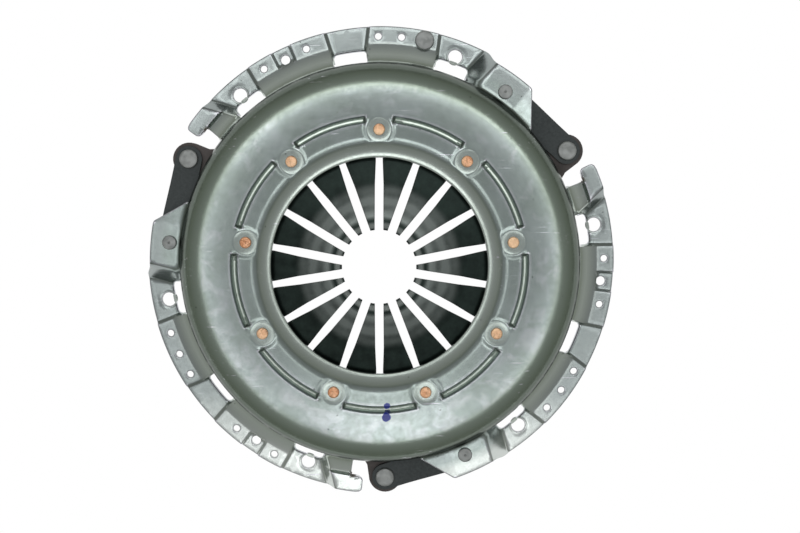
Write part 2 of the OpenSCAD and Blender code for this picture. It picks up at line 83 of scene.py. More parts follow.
# Bearing between the two halves of a third, and where the wall ends free above the lug and straps
halves_meet, free_from, free_to, free_z, hook_drop_r = 33, 22, 40.5, 28, 164.7
bolt_a, bolt_b, plain_pad, dowel = 10, 70, -21.8, -4.9
bolt_circle_r, bolt_hole_r, coin_r = 166.5, 5.25, 7.0
dowel_circle_r, dowel_hole_r, dowel_in_r = 170.3, 3.5, 167.0
balance_circle_r, balance_hole_r = 171.8, 2.6
balance_at = (-35.4, -29.5, -10.9, 1.0, 78.7)
bead_r, bead_half_w, bead_half_angle, bead_depth, bead_corner = 107.0, 2.5, 14.7, 3.8, 0.8
rivet_circle_r, land_r, land_depth = 99.6, 9.1, 0.35
trough_depth = 0.8
crown_from, crown_drop, crown_end = 117, 0.37, 20
seam = -38.4
third = 120
floor_slope = 0.11
edge_round, lip_round, window_round = 0.75, 1.5, 1.3
coin_depth, window_in_r, window_corner = 0.3, 149.6, 3
# The cover is meshed as a flat layout: plan_scale mm for each radian, and out to a radius of layout_r.
# The wall, the foot and the rim take wall_run, foot_run and rim_run mm of it.
plan_scale, layout_r, layout_zero = 150, 182, flat_r + 1
wall_run, foot_run, rim_run = 45, 10, 24

# Creases from [radius, angle] to [radius, angle]. The sheet climbs or falls beside each of them.
creases = {
    "plain_from": ((pad_in_r, plain_pad - 3.8), (flange_r, plain_pad - 5)),
    "plain_to": ((pad_in_r, plain_pad + 4.4), (flange_r, plain_pad + 5)),
    "dowel_from": ((dowel_in_r, dowel - 2.1), (flange_r, dowel - 2.1)),
    "dowel_to": ((dowel_in_r, dowel + 2.1), (flange_r, dowel + 2.1)),
    "a_from": ((pad_in_r, bolt_a - 4.8), (flange_r, bolt_a - 5.3)),
    "a_to": ((pad_in_r, bolt_a + 2.8), (flange_r, bolt_a + 6.3)),
    "strap_edge": ((dome_r, 49.5), (strap_pad_r, 49.5)),
    "b_from": ((pad_in_r, bolt_b - 4.2), (flange_r, bolt_b - 6.3)),
    "b_to": ((pad_in_r, bolt_b + 4.2), (flange_r, bolt_b + 5)),
}
step_w, dowel_step_w, hook_run, ramp_w, gusset_w = 2.2, 1.6, 7, 13.5, 24


def plan(r, degrees):
    a = np.radians(degrees)
    return np.stack([r * np.cos(a), r * np.sin(a)], -1)


def beside(name, x, y):
    """Distance from a crease, positive on its counter-clockwise side."""
    p, q = (plan(*end) for end in creases[name])
    u = (q - p) / np.linalg.norm(q - p)
    return -(x - p[0]) * u[1] + (y - p[1]) * u[0]


def hinge(s, w):
    return np.where(s < -w, 0, np.where(s > w, s, (s + w) ** 2 / (4 * w)))


def climb(s, run, w=0.55):
    """From 0 to 1 over a run, with a rounded start and end."""
    return (hinge(s, w) - hinge(s - run, w)) / run


def rim_shape(x, y):
    """Height of the rim's flat parts and weight of the raised band along the dome, at a plan point."""
    r, angle = np.hypot(x, y), np.degrees(np.arctan2(y, x))
    plain = climb(beside("plain_from", x, y) + step_w, step_w) - climb(beside("plain_to", x, y), step_w)
    at_dowel = climb(beside("dowel_from", x, y) + dowel_step_w, dowel_step_w)
    at_dowel = (at_dowel - climb(beside("dowel_to", x, y), dowel_step_w)) * climb(r - dowel_in_r + 1, 1.4)
    pad_a = climb(beside("a_from", x, y) + step_w, step_w)
    hook = climb(beside("a_to", x, y), hook_run, 1.2)
    drop = band_drop * hook * (1 - climb(r - hook_drop_r, 1.4, 0.5))
    left = flange_top - (plain + at_dowel + pad_a) * (flange_top - pad_top)
    left += hook * (hook_top - pad_top) - drop
    left_band = 1 - plain - pad_a + hook
    ramp = climb(beside("b_from", x, y) + ramp_w, ramp_w, 1.5)
    rise = climb(beside("b_to", x, y), step_w)
    gusset = hinge(-beside("strap_edge", x, y), 0.8) * gusset_rise / gusset_w
    right = strap_pad_top + gusset - ramp * (strap_pad_top - pad_top) + rise * (flange_top - pad_top)
    first = angle < halves_meet
    return np.where(first, left, right), np.where(first, left_band, rise)


def foot(angle):
    """The rounded foot of the wall: where it leaves the wall, its centre, radius and slope."""
    x, y = plan(dome_r + 6, angle).T
    level, band = rim_shape(x, y)
    free = climb(angle - free_from, 1.2, 0.5) * (1 - climb(angle - free_to, 1.2, 0.5))
    band = band * (1 - free)
    slope = band_slope * band
    radius = tight_foot_r + (foot_r - tight_foot_r) * band
    height = level + slope * (band_r - dome_r - radius) + radius * np.sqrt(1 + slope ** 2)
    height = height * (1 - free) + free_z * free
    over = np.clip((height - shoulder_z) / shoulder_r, 0, 1)
    wall_r = flat_r + shoulder_r * np.sqrt(1 - over ** 2)
    return wall_r, height, radius, slope


def rest_of_rim(angle):
    """Radius where the foot ends and the flat rim begins."""
    wall_r, height, radius, slope = foot(angle)
    return wall_r + radius - radius * slope / np.sqrt(1 + slope ** 2)


def nearest(angle, first):
    """Bearing of the nearest of nine places round the cover."""
    return np.round((angle - first) / 40) * 40 + first


def bead_distance(r, angle):
    """Distance to the nearest bead's outline, negative inside it."""
    half = np.radians(bead_half_angle) * bead_r - bead_corner
    along = np.abs(np.radians(angle - nearest(angle, 30))) * bead_r - half
    across = np.abs(r - bead_r) - (bead_half_w - bead_corner)
    outside = np.hypot(np.maximum(along, 0), np.maximum(across, 0))
    return outside + np.minimum(np.maximum(along, across), 0) - bead_corner


def land_distance(r, angle):
    x, y = plan(r, angle - nearest(angle, 10)).T
    return np.hypot(x - rivet_circle_r, y) - land_r


def crown(r):
    """How far the dome has rolled off before its shoulder begins."""
    return crown_drop * (np.clip(r - crown_from, 0, None) / (flat_r - crown_from)) ** 2


def lip_height(r):
    into_lip = np.clip((lip_crease_r - r) / (lip_crease_r - lip_r), 0, 1)
    return lip_rise * (1 - (1 - into_lip) ** 2)


def dome_height(r, angle):
    """The dome's top, with its lip, beads, rivet lands and the shallow trough between lip and bead."""
    land = land_distance(r, angle)
    sector = 1 - climb(np.abs(angle - nearest(angle, 30)) - bead_half_angle, 2.5, 0.8)
    trough = trough_depth * climb(r - lip_crease_r - 0.4, 2.6, 0.9) * (1 - climb(r - 107, 2)) * sector
    trough = trough * climb(land - 0.2, 3.0, 1.0)
    bead = climb(-bead_distance(r, angle), 1.5, 0.5)
    land = land_depth * climb(-land, 1.5, 0.5)
    bead = bead * (bead_depth - trough + floor_slope * (r - bead_r))
    return dome_h + lip_height(r) - trough - bead - land - crown(r)


def cover_top(v, angle):
    """A point of the cover's top. v is the radius less layout_zero on the dome, goes from -1 to 0
    down the shoulder and wall, from 0 to 1 round the foot, and from 1 to 25 over the rim."""
    wall_r, height, radius, slope = foot(angle)
    r = layout_zero + v
    z = dome_height(r, angle)
    start = np.arcsin(np.clip((height - shoulder_z) / shoulder_r, 0, 1))
    straight = np.maximum(shoulder_z - height, 0)
    path = (1 + v) * (shoulder_r * (np.pi / 2 - start) + straight)
    turned = np.minimum(path / shoulder_r, np.pi / 2)
    low = np.maximum(path - shoulder_r * np.pi / 2, 0)
    on_wall = (v > -1) & (v <= 0)
    r = np.where(on_wall, flat_r + shoulder_r * np.sin(turned), r)
    u = np.clip(path / crown_end, 0, 1)
    rolled = crown_drop * (2 * u ** 3 - 3 * u ** 2 + 1)
    rolled += 2 * crown_drop / (flat_r - crown_from) * crown_end * (u ** 3 - 2 * u ** 2 + u)
    z = np.where(on_wall, shoulder_z + shoulder_r * np.cos(turned) - low - rolled, z)
    sweep = np.pi + np.clip(v, 0, 1) * (np.pi / 2 - np.arctan(slope))
    on_foot = (v > 0) & (v <= 1)
    centre_r = wall_r + radius
    r = np.where(on_foot, centre_r + radius * np.cos(sweep), r)
    z = np.where(on_foot, height + radius * np.sin(sweep), z)
    flat_start = centre_r - radius * slope / np.sqrt(1 + slope ** 2)
    rim_r = flat_start + (v - 1) * (layout_r - flat_start) / rim_run
    r = np.where(v > 1, rim_r, r)
    x, y = plan(r, angle).T
    level, band = rim_shape(x, y)
    rim_z = level + band_slope * band * hinge(band_r - r, 0.8)
    for at in (bolt_a, bolt_b):
        cx, cy = plan(bolt_circle_r, at)
        rim_z = rim_z - coin_depth * climb(coin_r - np.hypot(x - cx, y - cy), 0.5, 0.25)
    z = np.where(v > 1, rim_z, z)
    return np.stack([x, y, z], -1)


def cover_bottom(v, angle):
    """The other side of the sheet: square to it on the wall and foot, and straight below it elsewhere."""
    step = 0.02
    top = cover_top(v, angle)
    apart = step * np.where(v > 1, 1, 0.5)
    along = cover_top(v + apart, angle) - cover_top(v - apart, angle)
    across = cover_top(v, angle + step) - cover_top(v, angle - step)
    normal = np.cross(along, across)
    normal /= np.linalg.norm(normal, axis=-1, keepdims=True)
    bottom = top - sheet_t * normal
    below = top.copy()
    steep = 1 / np.clip(normal[..., 2], 0.42, 1)
    below[..., 2] = np.maximum(below[..., 2] - sheet_t * np.minimum(steep, 2.4), 0)
    outer = (v > 1)[..., None]
    inner = (v < -1)[..., None]
    under_dome = top.copy()
    r = layout_zero + v
    bead = np.clip(-bead_distance(r, angle) + 1.6, 0, 4.9) / 4.9
    rib = bead_depth * np.sqrt(1 - (1 - bead) ** 2)
    under_dome[..., 2] = dome_h - sheet_t + lip_height(r) - rib - crown(r)
    return np.where(outer, below, np.where(inner, under_dome, bottom))


def to_sheet(points):
    """From plan points to the flat sheet on which the cover is laid out: arc length and path length."""
    x, y = np.asarray(points, float).T
    r, angle = np.hypot(x, y), np.degrees(np.arctan2(y, x))
    wall_r, height, radius, slope = foot(angle)
    flat_start = rest_of_rim(angle)
    turned = np.arccos(np.clip((wall_r + radius - r) / radius, -1, 1))
    v = np.where(r >= flat_start, 1 + rim_run * (r - flat_start) / (layout_r - flat_start),
                 turned / (np.pi / 2 - np.arctan(slope)))
    v = np.where(r <= wall_r, -0.01 * (wall_r - r), v)
    v = np.where(r < 140, r - layout_zero, v)
    return laid_out(v, angle)


def laid_out(v, angle):
    foot_or_rim = np.where(v < 1, foot_run * v, foot_run - 1 + v)
    run = np.where(v < -1, v - wall_run + 1, np.where(v < 0, wall_run * v, foot_or_rim))
    return np.stack([np.radians(angle) * plan_scale, run], -1)


def from_layout(points):
    x, run = np.asarray(points, float).T
    foot_or_rim = np.where(run < foot_run, run / foot_run, run - foot_run + 1)
    v = np.where(run < -wall_run, run + wall_run - 1, np.where(run < 0, run / wall_run, foot_or_rim))
    return v, np.degrees(x / plan_scale)


def arc(centre, radius, start, end, count):
    t = np.radians(np.linspace(start, end, count))
    return np.stack([centre[0] + radius * np.cos(t), centre[1] + radius * np.sin(t)], -1)


def rounded_sector(r0, r1, a0, a1, corner):
    """Plan outline of a window with its corners rounded."""
    inside, outside = (math.degrees(math.asin(corner / radius)) for radius in (r0 + corner, r1 - corner))

    def turned(radius, at, start):
        return arc(plan(radius, at), corner, at + start, at + start + 90, 7)

    def along(radius, start, end):
        return plan(radius, np.linspace(start, end, 9)[1:-1])
    return np.concatenate([
        turned(r1 - corner, a0 + outside, -90), along(r1, a0 + outside, a1 - outside),
        turned(r1 - corner, a1 - outside, 0), turned(r0 + corner, a1 - inside, 90),
        along(r0, a1 - inside, a0 + inside), turned(r0 + corner, a0 + inside, 180)])


def refined(points, step=1.3, closed=True):
    ends = np.roll(points, -1, 0) if closed else points[1:]
    starts = points if closed else points[:-1]
    out = []
    for p, q in zip(starts, ends):
        count = max(1, int(np.ceil(np.linalg.norm(q - p) / step)))
        out += [p + (q - p) * k / count for k in range(count)]
    if not closed:
        out.append(points[-1])
    return np.array(out)


def parallel(name, offset, r0, r1):
    """A line beside a crease, between two radii."""
    p, q = (plan(*end) for end in creases[name])
    u = (q - p) / np.linalg.norm(q - p)
    p = p + offset * np.array([-u[1], u[0]])
    reach = [np.roots([1, 2 * p @ u, p @ p - radius ** 2]).real.max() for radius in (r0, r1)]
    return refined(np.array([p + reach[0] * u, p + reach[1] * u]), 1.5, False)


windows = [rounded_sector(window_in_r, pad_in_r, a0, a1, window_corner) for a0, a1 in (
    (plain_pad - 4.4, plain_pad + 4.6), (bolt_a - 5, bolt_a + 3.4), (bolt_b - 4.6, bolt_b + 4.4))]
holes = [arc(plan(bolt_circle_r, at), bolt_hole_r, 0, 360, 33)[:-1] for at in (bolt_a, bolt_b)]
holes.append(arc(plan(dowel_circle_r, dowel), dowel_hole_r, 0, 360, 25)[:-1])
holes += [arc(plan(balance_circle_r, at), balance_hole_r, 0, 360, 21)[:-1] for at in balance_at]

# Opening for the lug and the straps: gusset edge, wall, end of the band, fracture notch and hook end
opening = refined(np.concatenate([
    plan(195, np.linspace(15.5, 50, 12)), plan(strap_pad_r + 0.2, [49.9]),
    plan(strap_pad_r - 0.3, [49.2]), plan(strap_pad_r - 1.2, [48.8]),
    plan(np.array([151.5, 149.2]), [42.3, 41.3]), plan(149.2, np.linspace(41, 23, 10)),
    plan(np.array([149.2, 164.2]), [22.1, 22.0]), plan(np.array([165.0, 165.4, 166.0]), [21.6, 22.2, 22.0]),
    plan(np.array([166.0, 166.1, 166.9, 168.6]), [23.2, 24.2, 24.9, 25.25]),
    plan(np.array([174.6, 176.6, 177.9, 178.4]), [25.3, 25.15, 24.6, 23.6]),
    plan(hook_r, np.linspace(22.5, 17.4, 5)), plan(np.array([178.8, 179.6]), [16.6, 15.9])]), 1.3)
edge_turns, far_out = np.linspace(seam - 2, seam + third + 2, 190), 51.0
edge_r = np.where(edge_turns < halves_meet, flange_r, strap_pad_r)
wider = climb(edge_turns - 60.3, 2.6, 1.0) * (edge_turns > halves_meet)
edge_r = edge_r + (flange_r - strap_pad_r) * wider
past_edge = laid_out(np.full(2, far_out), edge_turns[[-1, 0]])
beyond = np.concatenate([to_sheet(plan(edge_r, edge_turns)), past_edge])

wall_top_row = 36
rows = np.concatenate([
    np.array([79, 79.8, 81, 83, 85.5, 88, 89.6, 90.2, 90.8, 91.8, 93.5, 95.3, 97.2, 99.3, 101.5, 103.8,
              106, 108.5, 112, 116, 120, 125]) - layout_zero,
    np.linspace(-1, 0, 15), [0.25, 0.5, 0.75, 1.0], np.linspace(3, 27, 11)])
columns = np.linspace(seam, seam + third, 109)
lines, line_in_r, line_out_r = [], 157, 181
for name, run, offsets in (("plain_from", -step_w, (-0.5, 0, 0.5)), ("plain_to", step_w, (-0.5, 0, 0.5)),
                           ("a_from", -step_w, (-0.5, 0, 0.5)), ("b_to", step_w, (-0.5, 0, 0.5)),
                           ("a_to", hook_run, (-1.2, 0, 1.2)), ("b_from", -ramp_w, (-1.5, 0, 1.5))):
    lines += [parallel(name, base + offset, line_in_r, line_out_r) for base in (0, run) for offset in offsets]
for name, run in (("dowel_from", -dowel_step_w), ("dowel_to", dowel_step_w)):
    lines += [parallel(name, base + offset, dowel_in_r - 1.5, line_out_r)
              for base in (0, run) for offset in (-0.5, 0, 0.5)]
lines += [parallel("strap_edge", offset, 152.2, 174) for offset in (0.8, -0.8)]
for past in (-0.5, 0.2, 0.9, 1.6):
    lines.append(refined(plan(hook_drop_r + past, np.linspace(15.2, 22.6, 12)), 1.3, False))
for radius in (band_r - 0.8, band_r, band_r + 0.8):
    for a0, a1 in ((seam, -28.2), (-15.6, 3.6), (76.2, seam + third)):
        lines.append(refined(plan(radius, np.linspace(a0, a1, 24)), 2.4, False))
loops = []
for at in (bolt_a, bolt_b):
    loops += [arc(plan(bolt_circle_r, at), coin_r + d, 0, 360, 41)[:-1] for d in (-0.75, -0.25, 0.25)]
for middle in (-50, -10, 30, 70):
    for inset in (-0.4, 0.4, 1.1, 1.9):
        half = math.degrees((math.radians(bead_half_angle) * bead_r - inset) / bead_r)
        loops.append(rounded_sector(bead_r - bead_half_w + inset, bead_r + bead_half_w - inset,
                                    middle - half, middle + half, max(bead_corner - inset, 0.15)))
for middle in (-30, 10, 50):
    loops += [arc(plan(rivet_circle_r, middle), land_r + d, 0, 360, 57)[:-1]
              for d in (-0.75, -0.25, 0.25, 1.2, 2.4, 3.4, 4.4)]


coords, edges = [], []


def put(points, closed):
    first = len(coords)
    coords.extend(points)
    edges.extend((first + k, first + k + 1) for k in range(len(points) - 1))
    if closed:
        edges.append((len(coords) - 1, first))


cuts = [to_sheet(refined(w)) for w in windows] + [to_sheet(h) for h in holes]
cuts += [to_sheet(opening), beyond]
for outline in cuts:
    put(outline, True)
for loop in loops:
    put(to_sheet(refined(loop, 1.6)), True)
for line in lines:
    put(to_sheet(line), False)


def tree_of(points):
    near = KDTree(len(points))
    for k, point in enumerate(points):
        near.insert((point[0], point[1], 0), k)
    near.balance()
    return near


def clear(point, distance=1.0):
    """Whether a point stands clear of every outline, loop and line."""
    return near.find((point[0], point[1], 0))[2] > distance


def triangulated():
    """Triangles between everything that was put: their points, and each one's three corners."""
    flat, _, faces, *_ = delaunay_2d_cdt([Vector(p) for p in coords], edges, [], 0, 1e-5)
    return np.array(flat), np.array([f for f in faces if len(f) == 3])


def way_round(flat, faces):
    """Above 0 for a triangle whose corners run counter-clockwise."""
    return np.cross(flat[faces[:, 1]] - flat[faces[:, 0]], flat[faces[:, 2]] - flat[faces[:, 0]])


def rim_of(faces):
    """Edges that only one triangle has."""
    directed = {(a, b) for f in faces for a, b in zip(f, np.roll(f, -1))}
    return [e for e in directed if e[::-1] not in directed]


near = tree_of(coords)
grid = laid_out(*np.meshgrid(rows, columns, indexing="ij"))
for index in (0, -1):
    put([p for p in grid[:, index] if clear(p, 0.5)], False)
put([p for p in grid[wall_top_row] if clear(p, 0.3)], False)
put(grid[0], False)
inner_points = np.delete(grid, (0, wall_top_row), 0)[:, 1:-1].reshape(-1, 2)
coords.extend(p for p in inner_points if clear(p))
flat, faces = triangulated()


def inside(points, outline):
    x, y = points[:, None].T
    x0, y0 = outline.T[:, :, None]
    x1, y1 = np.roll(outline, -1, 0).T[:, :, None]
    crosses = (y0 > y) != (y1 > y)
    with np.errstate(divide="ignore", invalid="ignore"):
        left = x < x0 + (y - y0) * (x1 - x0) / (y1 - y0)
    return (crosses & left).sum(0) % 2 == 1


centres = flat[faces].mean(1)
low, high = grid[0, 0], grid[-1, -1]
keep = (centres[:, 0] > low[0]) & (centres[:, 0] < high[0]) & (centres[:, 1] > low[1])
for outline in cuts:
    keep &= ~(inside(centres, outline) & (centres[:, 1] > 0))
faces = faces[keep]
faces = faces[np.abs(way_round(flat, faces)) > 1e-7]
wrong = way_round(flat, faces) > 0
faces[wrong] = faces[wrong][:, ::-1]

used = np.unique(faces)
renumber = np.full(len(flat), -1)
renumber[used] = np.arange(len(used))
flat, faces = flat[used], renumber[faces]
rim = [(a, b) for a, b in rim_of(faces) if abs(flat[a][0] - flat[b][0]) >= 1e-6
       or min(abs(flat[a][0] - low[0]), abs(flat[a][0] - high[0])) >= 1e-4]
outward = np.zeros_like(flat)
for a, b in rim:
    d = (flat[b] - flat[a]) / np.linalg.norm(flat[b] - flat[a])
    outward[[a, b]] += np.array([-d[1], d[0]])
length = np.linalg.norm(outward, axis=1, keepdims=True)
outward = np.where(length > 0, outward / np.maximum(length, 1e-9), 0)
at_lip = flat[:, 1] < low[1] + 0.01
window_points = np.concatenate([to_sheet(refined(w)) for w in windows])
to_window = np.array([np.hypot(*(window_points - p).T).min() for p in flat])
round_off = np.where(at_lip, lip_round, np.where(to_window < 0.05, window_round, edge_round))[:, None]
inset = flat - outward * round_off
v, angle = from_layout(inset)
top, bottom = cover_top(v, angle), cover_bottom(v, angle)
v, angle = from_layout(flat)
corner_top, corner_bottom = cover_top(v, angle), cover_bottom(v, angle)
down = corner_bottom - corner_top
down /= np.linalg.norm(down, axis=1, keepdims=True)
side_top, side_bottom = corner_top + down * round_off, corner_bottom - down * round_off
rings = [(1 - s) ** 2 * top + 2 * s * (1 - s) * corner_top + s ** 2 * side_top for s in (0, 0.35, 0.7, 1)]
rings += [side_bottom, 0.25 * bottom + 0.5 * corner_bottom + 0.25 * side_bottom, bottom]
on_rim = np.unique(np.array(rim))
place = np.full((len(rings), len(flat)), -1)
place[0], place[-1] = np.arange(len(flat)), len(flat) + np.arange(len(flat))
points = [top, bottom]
count = 2 * len(flat)
for k in range(1, len(rings) - 1):
    place[k, on_rim] = count + np.arange(len(on_rim))
    points.append(rings[k][on_rim])
    count += len(on_rim)
points = np.concatenate(points)
polygons = [tuple(f) for f in faces] + [tuple(place[-1][f][::-1]) for f in faces]
for a, b in rim:
    for k in range(len(rings) - 1):
        polygons.append((place[k, b], place[k, a], place[k + 1, a], place[k + 1, b]))
cover_mesh = bpy.data.meshes.new("cover_sheet")
turned_points, all_polygons = [], []
for k in range(3):
    c, s = math.cos(math.radians(third * k)), math.sin(math.radians(third * k))
    turned_points.append(points @ np.array([[c, s, 0], [-s, c, 0], [0, 0, 1]]))
    all_polygons += [tuple(i + k * len(points) for i in p) for p in polygons]
cover_mesh.from_pydata((np.concatenate(turned_points) * MM).tolist(), [], all_polygons)


weld = 0.004 * MM


def close(mesh):
    """Joins points that meet, fills what is open, and turns every face outwards."""
    work = bmesh.new()
    work.from_mesh(mesh)
    bmesh.ops.remove_doubles(work, verts=work.verts, dist=weld)
    rims = [e for e in work.edges if e.is_boundary]
    if rims:
        bmesh.ops.holes_fill(work, edges=rims, sides=0)
    bmesh.ops.recalc_face_normals(work, faces=work.faces)
    work.to_mesh(mesh)
    work.free()


close(cover_mesh)


def piece_of(name, mesh, sharp=35):
    """A smooth piece of a mesh, sharp where it folds by more than an angle."""
    mesh.shade_smooth()
    mesh.set_sharp_from_angle(angle=math.radians(sharp))
    piece = bpy.data.objects.new(name, mesh)
    bpy.context.scene.collection.objects.link(piece)
    return piece


def seat(name, mesh, body, slot, *nodes, sharp=35):
    """Closes a mesh, makes it a piece, hangs it on the empty of the body it rides on, and hides the parts of
    model.glb that it stands for.
    """
    close(mesh)
    piece = piece_of(name, mesh, sharp)
    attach(piece, body)
    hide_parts(*nodes)
    return piece


def linear(hex_colour):
    channels = [int(hex_colour[i:i + 2], 16) / 255 for i in (1, 3, 5)]
    return tuple(c / 12.92 if c <= 0.04045 else ((c + 0.055) / 1.055) ** 2.4 for c in channels) + (1.0,)


def add(tree, kind, *values, **named):
    """Adds a node. A word after its kind is its operation, or a Mix's data type. Plain values fill its
    inputs in order, names with a capital fill the inputs of that name, and the other names are settings.
    A node given as a value stands for its first output."""
    kind, _, way = kind.partition(" ")
    node = tree.nodes.new(kind if "Node" in kind else "ShaderNode" + kind)
    if way:
        setattr(node, "data_type" if kind == "Mix" else "operation", way)
    for name in [name for name in named if name[0].islower()]:
        setattr(node, name, named.pop(name))
    filled = list(zip([s for s in node.inputs if s.enabled], values))
    filled += [(node.inputs[name.replace("_", " ")], value) for name, value in named.items()]
    for socket, value in filled:
        if isinstance(value, bpy.types.Node):
            value = next(s for s in value.outputs if s.enabled)
        if isinstance(value, bpy.types.NodeSocket):
            tree.links.new(value, socket)
        else:
            socket.default_value = value
    return node


def new_material(name):
    """An empty material, its tree, and the tree's object coordinates."""
    material = bpy.data.materials.new(name)
    material.use_nodes = True
    tree = material.node_tree
    tree.nodes.clear()
    return material, tree, add(tree, "ShaderNodeTexCoord").outputs["Object"]


def coat(tree, colour, metal, rough, relief, strength, distance):
    """The last nodes of every metal: its relief, its surface and the output."""
    bump = add(tree, "Bump", Strength=strength, Distance=distance * MM, Height=relief)
    surface = add(tree, "BsdfPrincipled", Base_Color=colour, Metallic=metal, Roughness=rough, Normal=bump)
    add(tree, "OutputMaterial", Surface=surface)


def from_axis(tree, place):
    """Each point's place in plan, and its distance from the shaft's axis."""
    flat_place = add(tree, "VectorMath MULTIPLY", place, (1, 1, 0))
    return flat_place, add(tree, "VectorMath LENGTH", flat_place)


def two_tone(tree, pattern, low, high, first, second):
    """Goes from the first colour to the second as the pattern rises from low to high."""
    share = add(tree, "MapRange", pattern, low, high)
    return add(tree, "Mix RGBA", share, linear(first), linear(second))


def per(size):
    """Scale of a pattern whose features are this many millimetres across."""
    return 1 / (size * MM)


def read(things, key, width, kind=float):
    """One row of numbers for each vertex, normal or edge of a mesh."""
    numbers = np.empty(len(things) * width, kind)
    things.foreach_get(key, numbers)
    return numbers.reshape(-1, width)


# How sharply the sheet bends at each point: above 0 where it may wear, below 0 in hollow creases, painted
# darker as shade
spots = read(cover_mesh.vertices, "co", 3) / MM
normals = read(cover_mesh.vertex_normals, "vector", 3)
ends = read(cover_mesh.edges, "vertices", 2, int)
along = spots[ends[:, 1]] - spots[ends[:, 0]]
bend = ((normals[ends[:, 1]] - normals[ends[:, 0]]) * along).sum(1) / np.maximum((along ** 2).sum(1), 1e-4)
weight = np.linalg.norm(along, axis=1)
total, share = np.zeros(len(spots)), np.zeros(len(spots))
for column in (0, 1):
    np.add.at(total, ends[:, column], bend * weight)
    np.add.at(share, ends[:, column], weight)
wear = np.clip(total / np.maximum(share, 1e-9), -1, 1)
span = np.hypot(spots[:, 0], spots[:, 1])
wear = np.where((span < 160) & (spots[:, 2] > 1), np.minimum(wear, 0.6), wear)
# The broken edge of each notch beside a hook
notch_r, notch_at, notch_reach = 164.8, 22.6, 3.2
notch = np.zeros(len(spots))
for k in range(3):
    x, y = plan(notch_r, notch_at + third * k)
    reach = np.hypot(spots[:, 0] - x, spots[:, 1] - y) / notch_reach
    notch = np.maximum(notch, np.clip(1.6 - 1.6 * reach, 0, 1) * (np.abs(normals[:, 2]) < 0.9))
# How far each point was pressed, on the lip, the raised band, the bolt faces and lands, with a painted
# highlight in the bead floors
turn = (np.degrees(np.arctan2(spots[:, 1], spots[:, 0])) - seam) % third + seam
pressed = rim_shape(*plan(span, turn).T)[1] * climb(span - dome_r, 3) * (1 - climb(span - band_r, 3))
pressed = np.clip(pressed + 0.6 * climb(lip_crease_r - span, 2), 0, 1)
for at in (bolt_a, bolt_b):
    x, y = plan(bolt_circle_r, at)
    from_hole = np.hypot(*(plan(span, turn).T - np.array([[x], [y]])))
    pressed = np.maximum(pressed, climb(coin_r - from_hole, 1.0))
on_top = spots[:, 2] > 40
pressed = np.maximum(pressed, 0.35 * climb(-land_distance(span, turn), 0.8) * on_top)
# Painted highlight: the bead floors are lightened where they mirror the lamps
pressed = np.maximum(pressed, 0.8 * climb(-bead_distance(span, turn) - 0.8, 0.8) * on_top)
for name, values in (("wear", wear), ("notch", notch), ("pressed", pressed)):
    cover_mesh.attributes.new(name, "FLOAT", "POINT").data.foreach_set("value", values)

# Deep-drawn steel, pickled and oiled: grey with a green cast, duller on the drawn skirt and painted darker
# there as shade, burnished where the press and other covers rubbed it. Metal, so its colour tints what it
# mirrors.
drawn_steel, tree, place = new_material("deep_drawn_steel_oiled")
flat_place, radius = from_axis(tree, place)
axis_parts = add(tree, "SeparateXYZ", place)
cloud = add(tree, "TexNoise", place, Scale=per(26), Detail=4.0, Roughness=0.55)
film = add(tree, "TexNoise", place, Scale=per(5), Detail=7.0, Roughness=0.62)
grain = add(tree, "TexNoise", place, Scale=per(0.9), Detail=4.0, Roughness=0.6)
colour = two_tone(tree, cloud, 0.36, 0.64, "#929D98", "#9EA8A6")
filmy = add(tree, "MapRange", film, 0.35, 0.7, To_Max=0.16)
# Zones of the sheet by radius: where each begins, where it is full, and how strong it is there
zones = {"inner": (109, 99, 0.3), "skirt_in": (127, 135, 1), "skirt_out": (153, 149.5, 0.85),
         "skirt_low": (141, 145.5, 1), "ring_in": (110, 117, 1), "ring_out": (134, 130, 1)}
for zone, (begins, full_at, most) in zones.items():
    zones[zone] = add(tree, "MapRange", radius, begins * MM, full_at * MM,
                      To_Max=most, interpolation_type="SMOOTHSTEP")
for share, tint in ((filmy, "#78827B"), (zones["inner"], "#7A8480")):
    colour = add(tree, "Mix RGBA", share, colour, linear(tint))
# Painted shade: the skirt is coloured darker than the dome, darkest towards its foot, where the wall faces
# away from the lamps
skirt = add(tree, "Math MULTIPLY", zones["skirt_in"], zones["skirt_out"])
skirt_colour = add(tree, "Mix RGBA", zones["skirt_low"], linear("#8B9789"), linear("#4F574D"))
colour = add(tree, "Mix RGBA", skirt, colour, skirt_colour)
# The lip and the raised band were pressed hard against the die and are lighter; the bead floors are lighter
# as a painted highlight
pressed = add(tree, "Attribute", attribute_name="pressed").outputs["Fac"]
colour = add(tree, "Mix RGBA", pressed, colour, linear("#BFC8BF"))
# Painted highlight: the rim is coloured lighter towards the front, where its pads mirror the front soft box
rim_share = add(tree, "MapRange", radius, 158 * MM, 166 * MM, To_Max=0.8)
front_rim = add(tree, "MapRange", axis_parts.outputs["Y"], -100 * MM, -145 * MM)
rim_colour = add(tree, "Mix RGBA", front_rim, linear("#8F9695"), linear("#D2D7D3"))
colour = add(tree, "Mix RGBA", rim_share, colour, rim_colour)
# Scuffs: burnished patches on the outer plateau, made stronger towards the front as a painted highlight
front = add(tree, "MapRange", axis_parts.outputs["Y"], 0.06, -0.11, To_Max=0.12)
patch = add(tree, "TexNoise", place, Scale=per(15), Detail=5.0, Roughness=0.5, Distortion=0.6)
patch = add(tree, "Math ADD", patch, front)
patch = add(tree, "MapRange", patch, 0.54, 0.70)
scuff = zones["ring_in"]
for factor in (zones["ring_out"], patch, 0.22):
    scuff = add(tree, "Math MULTIPLY", scuff, factor)
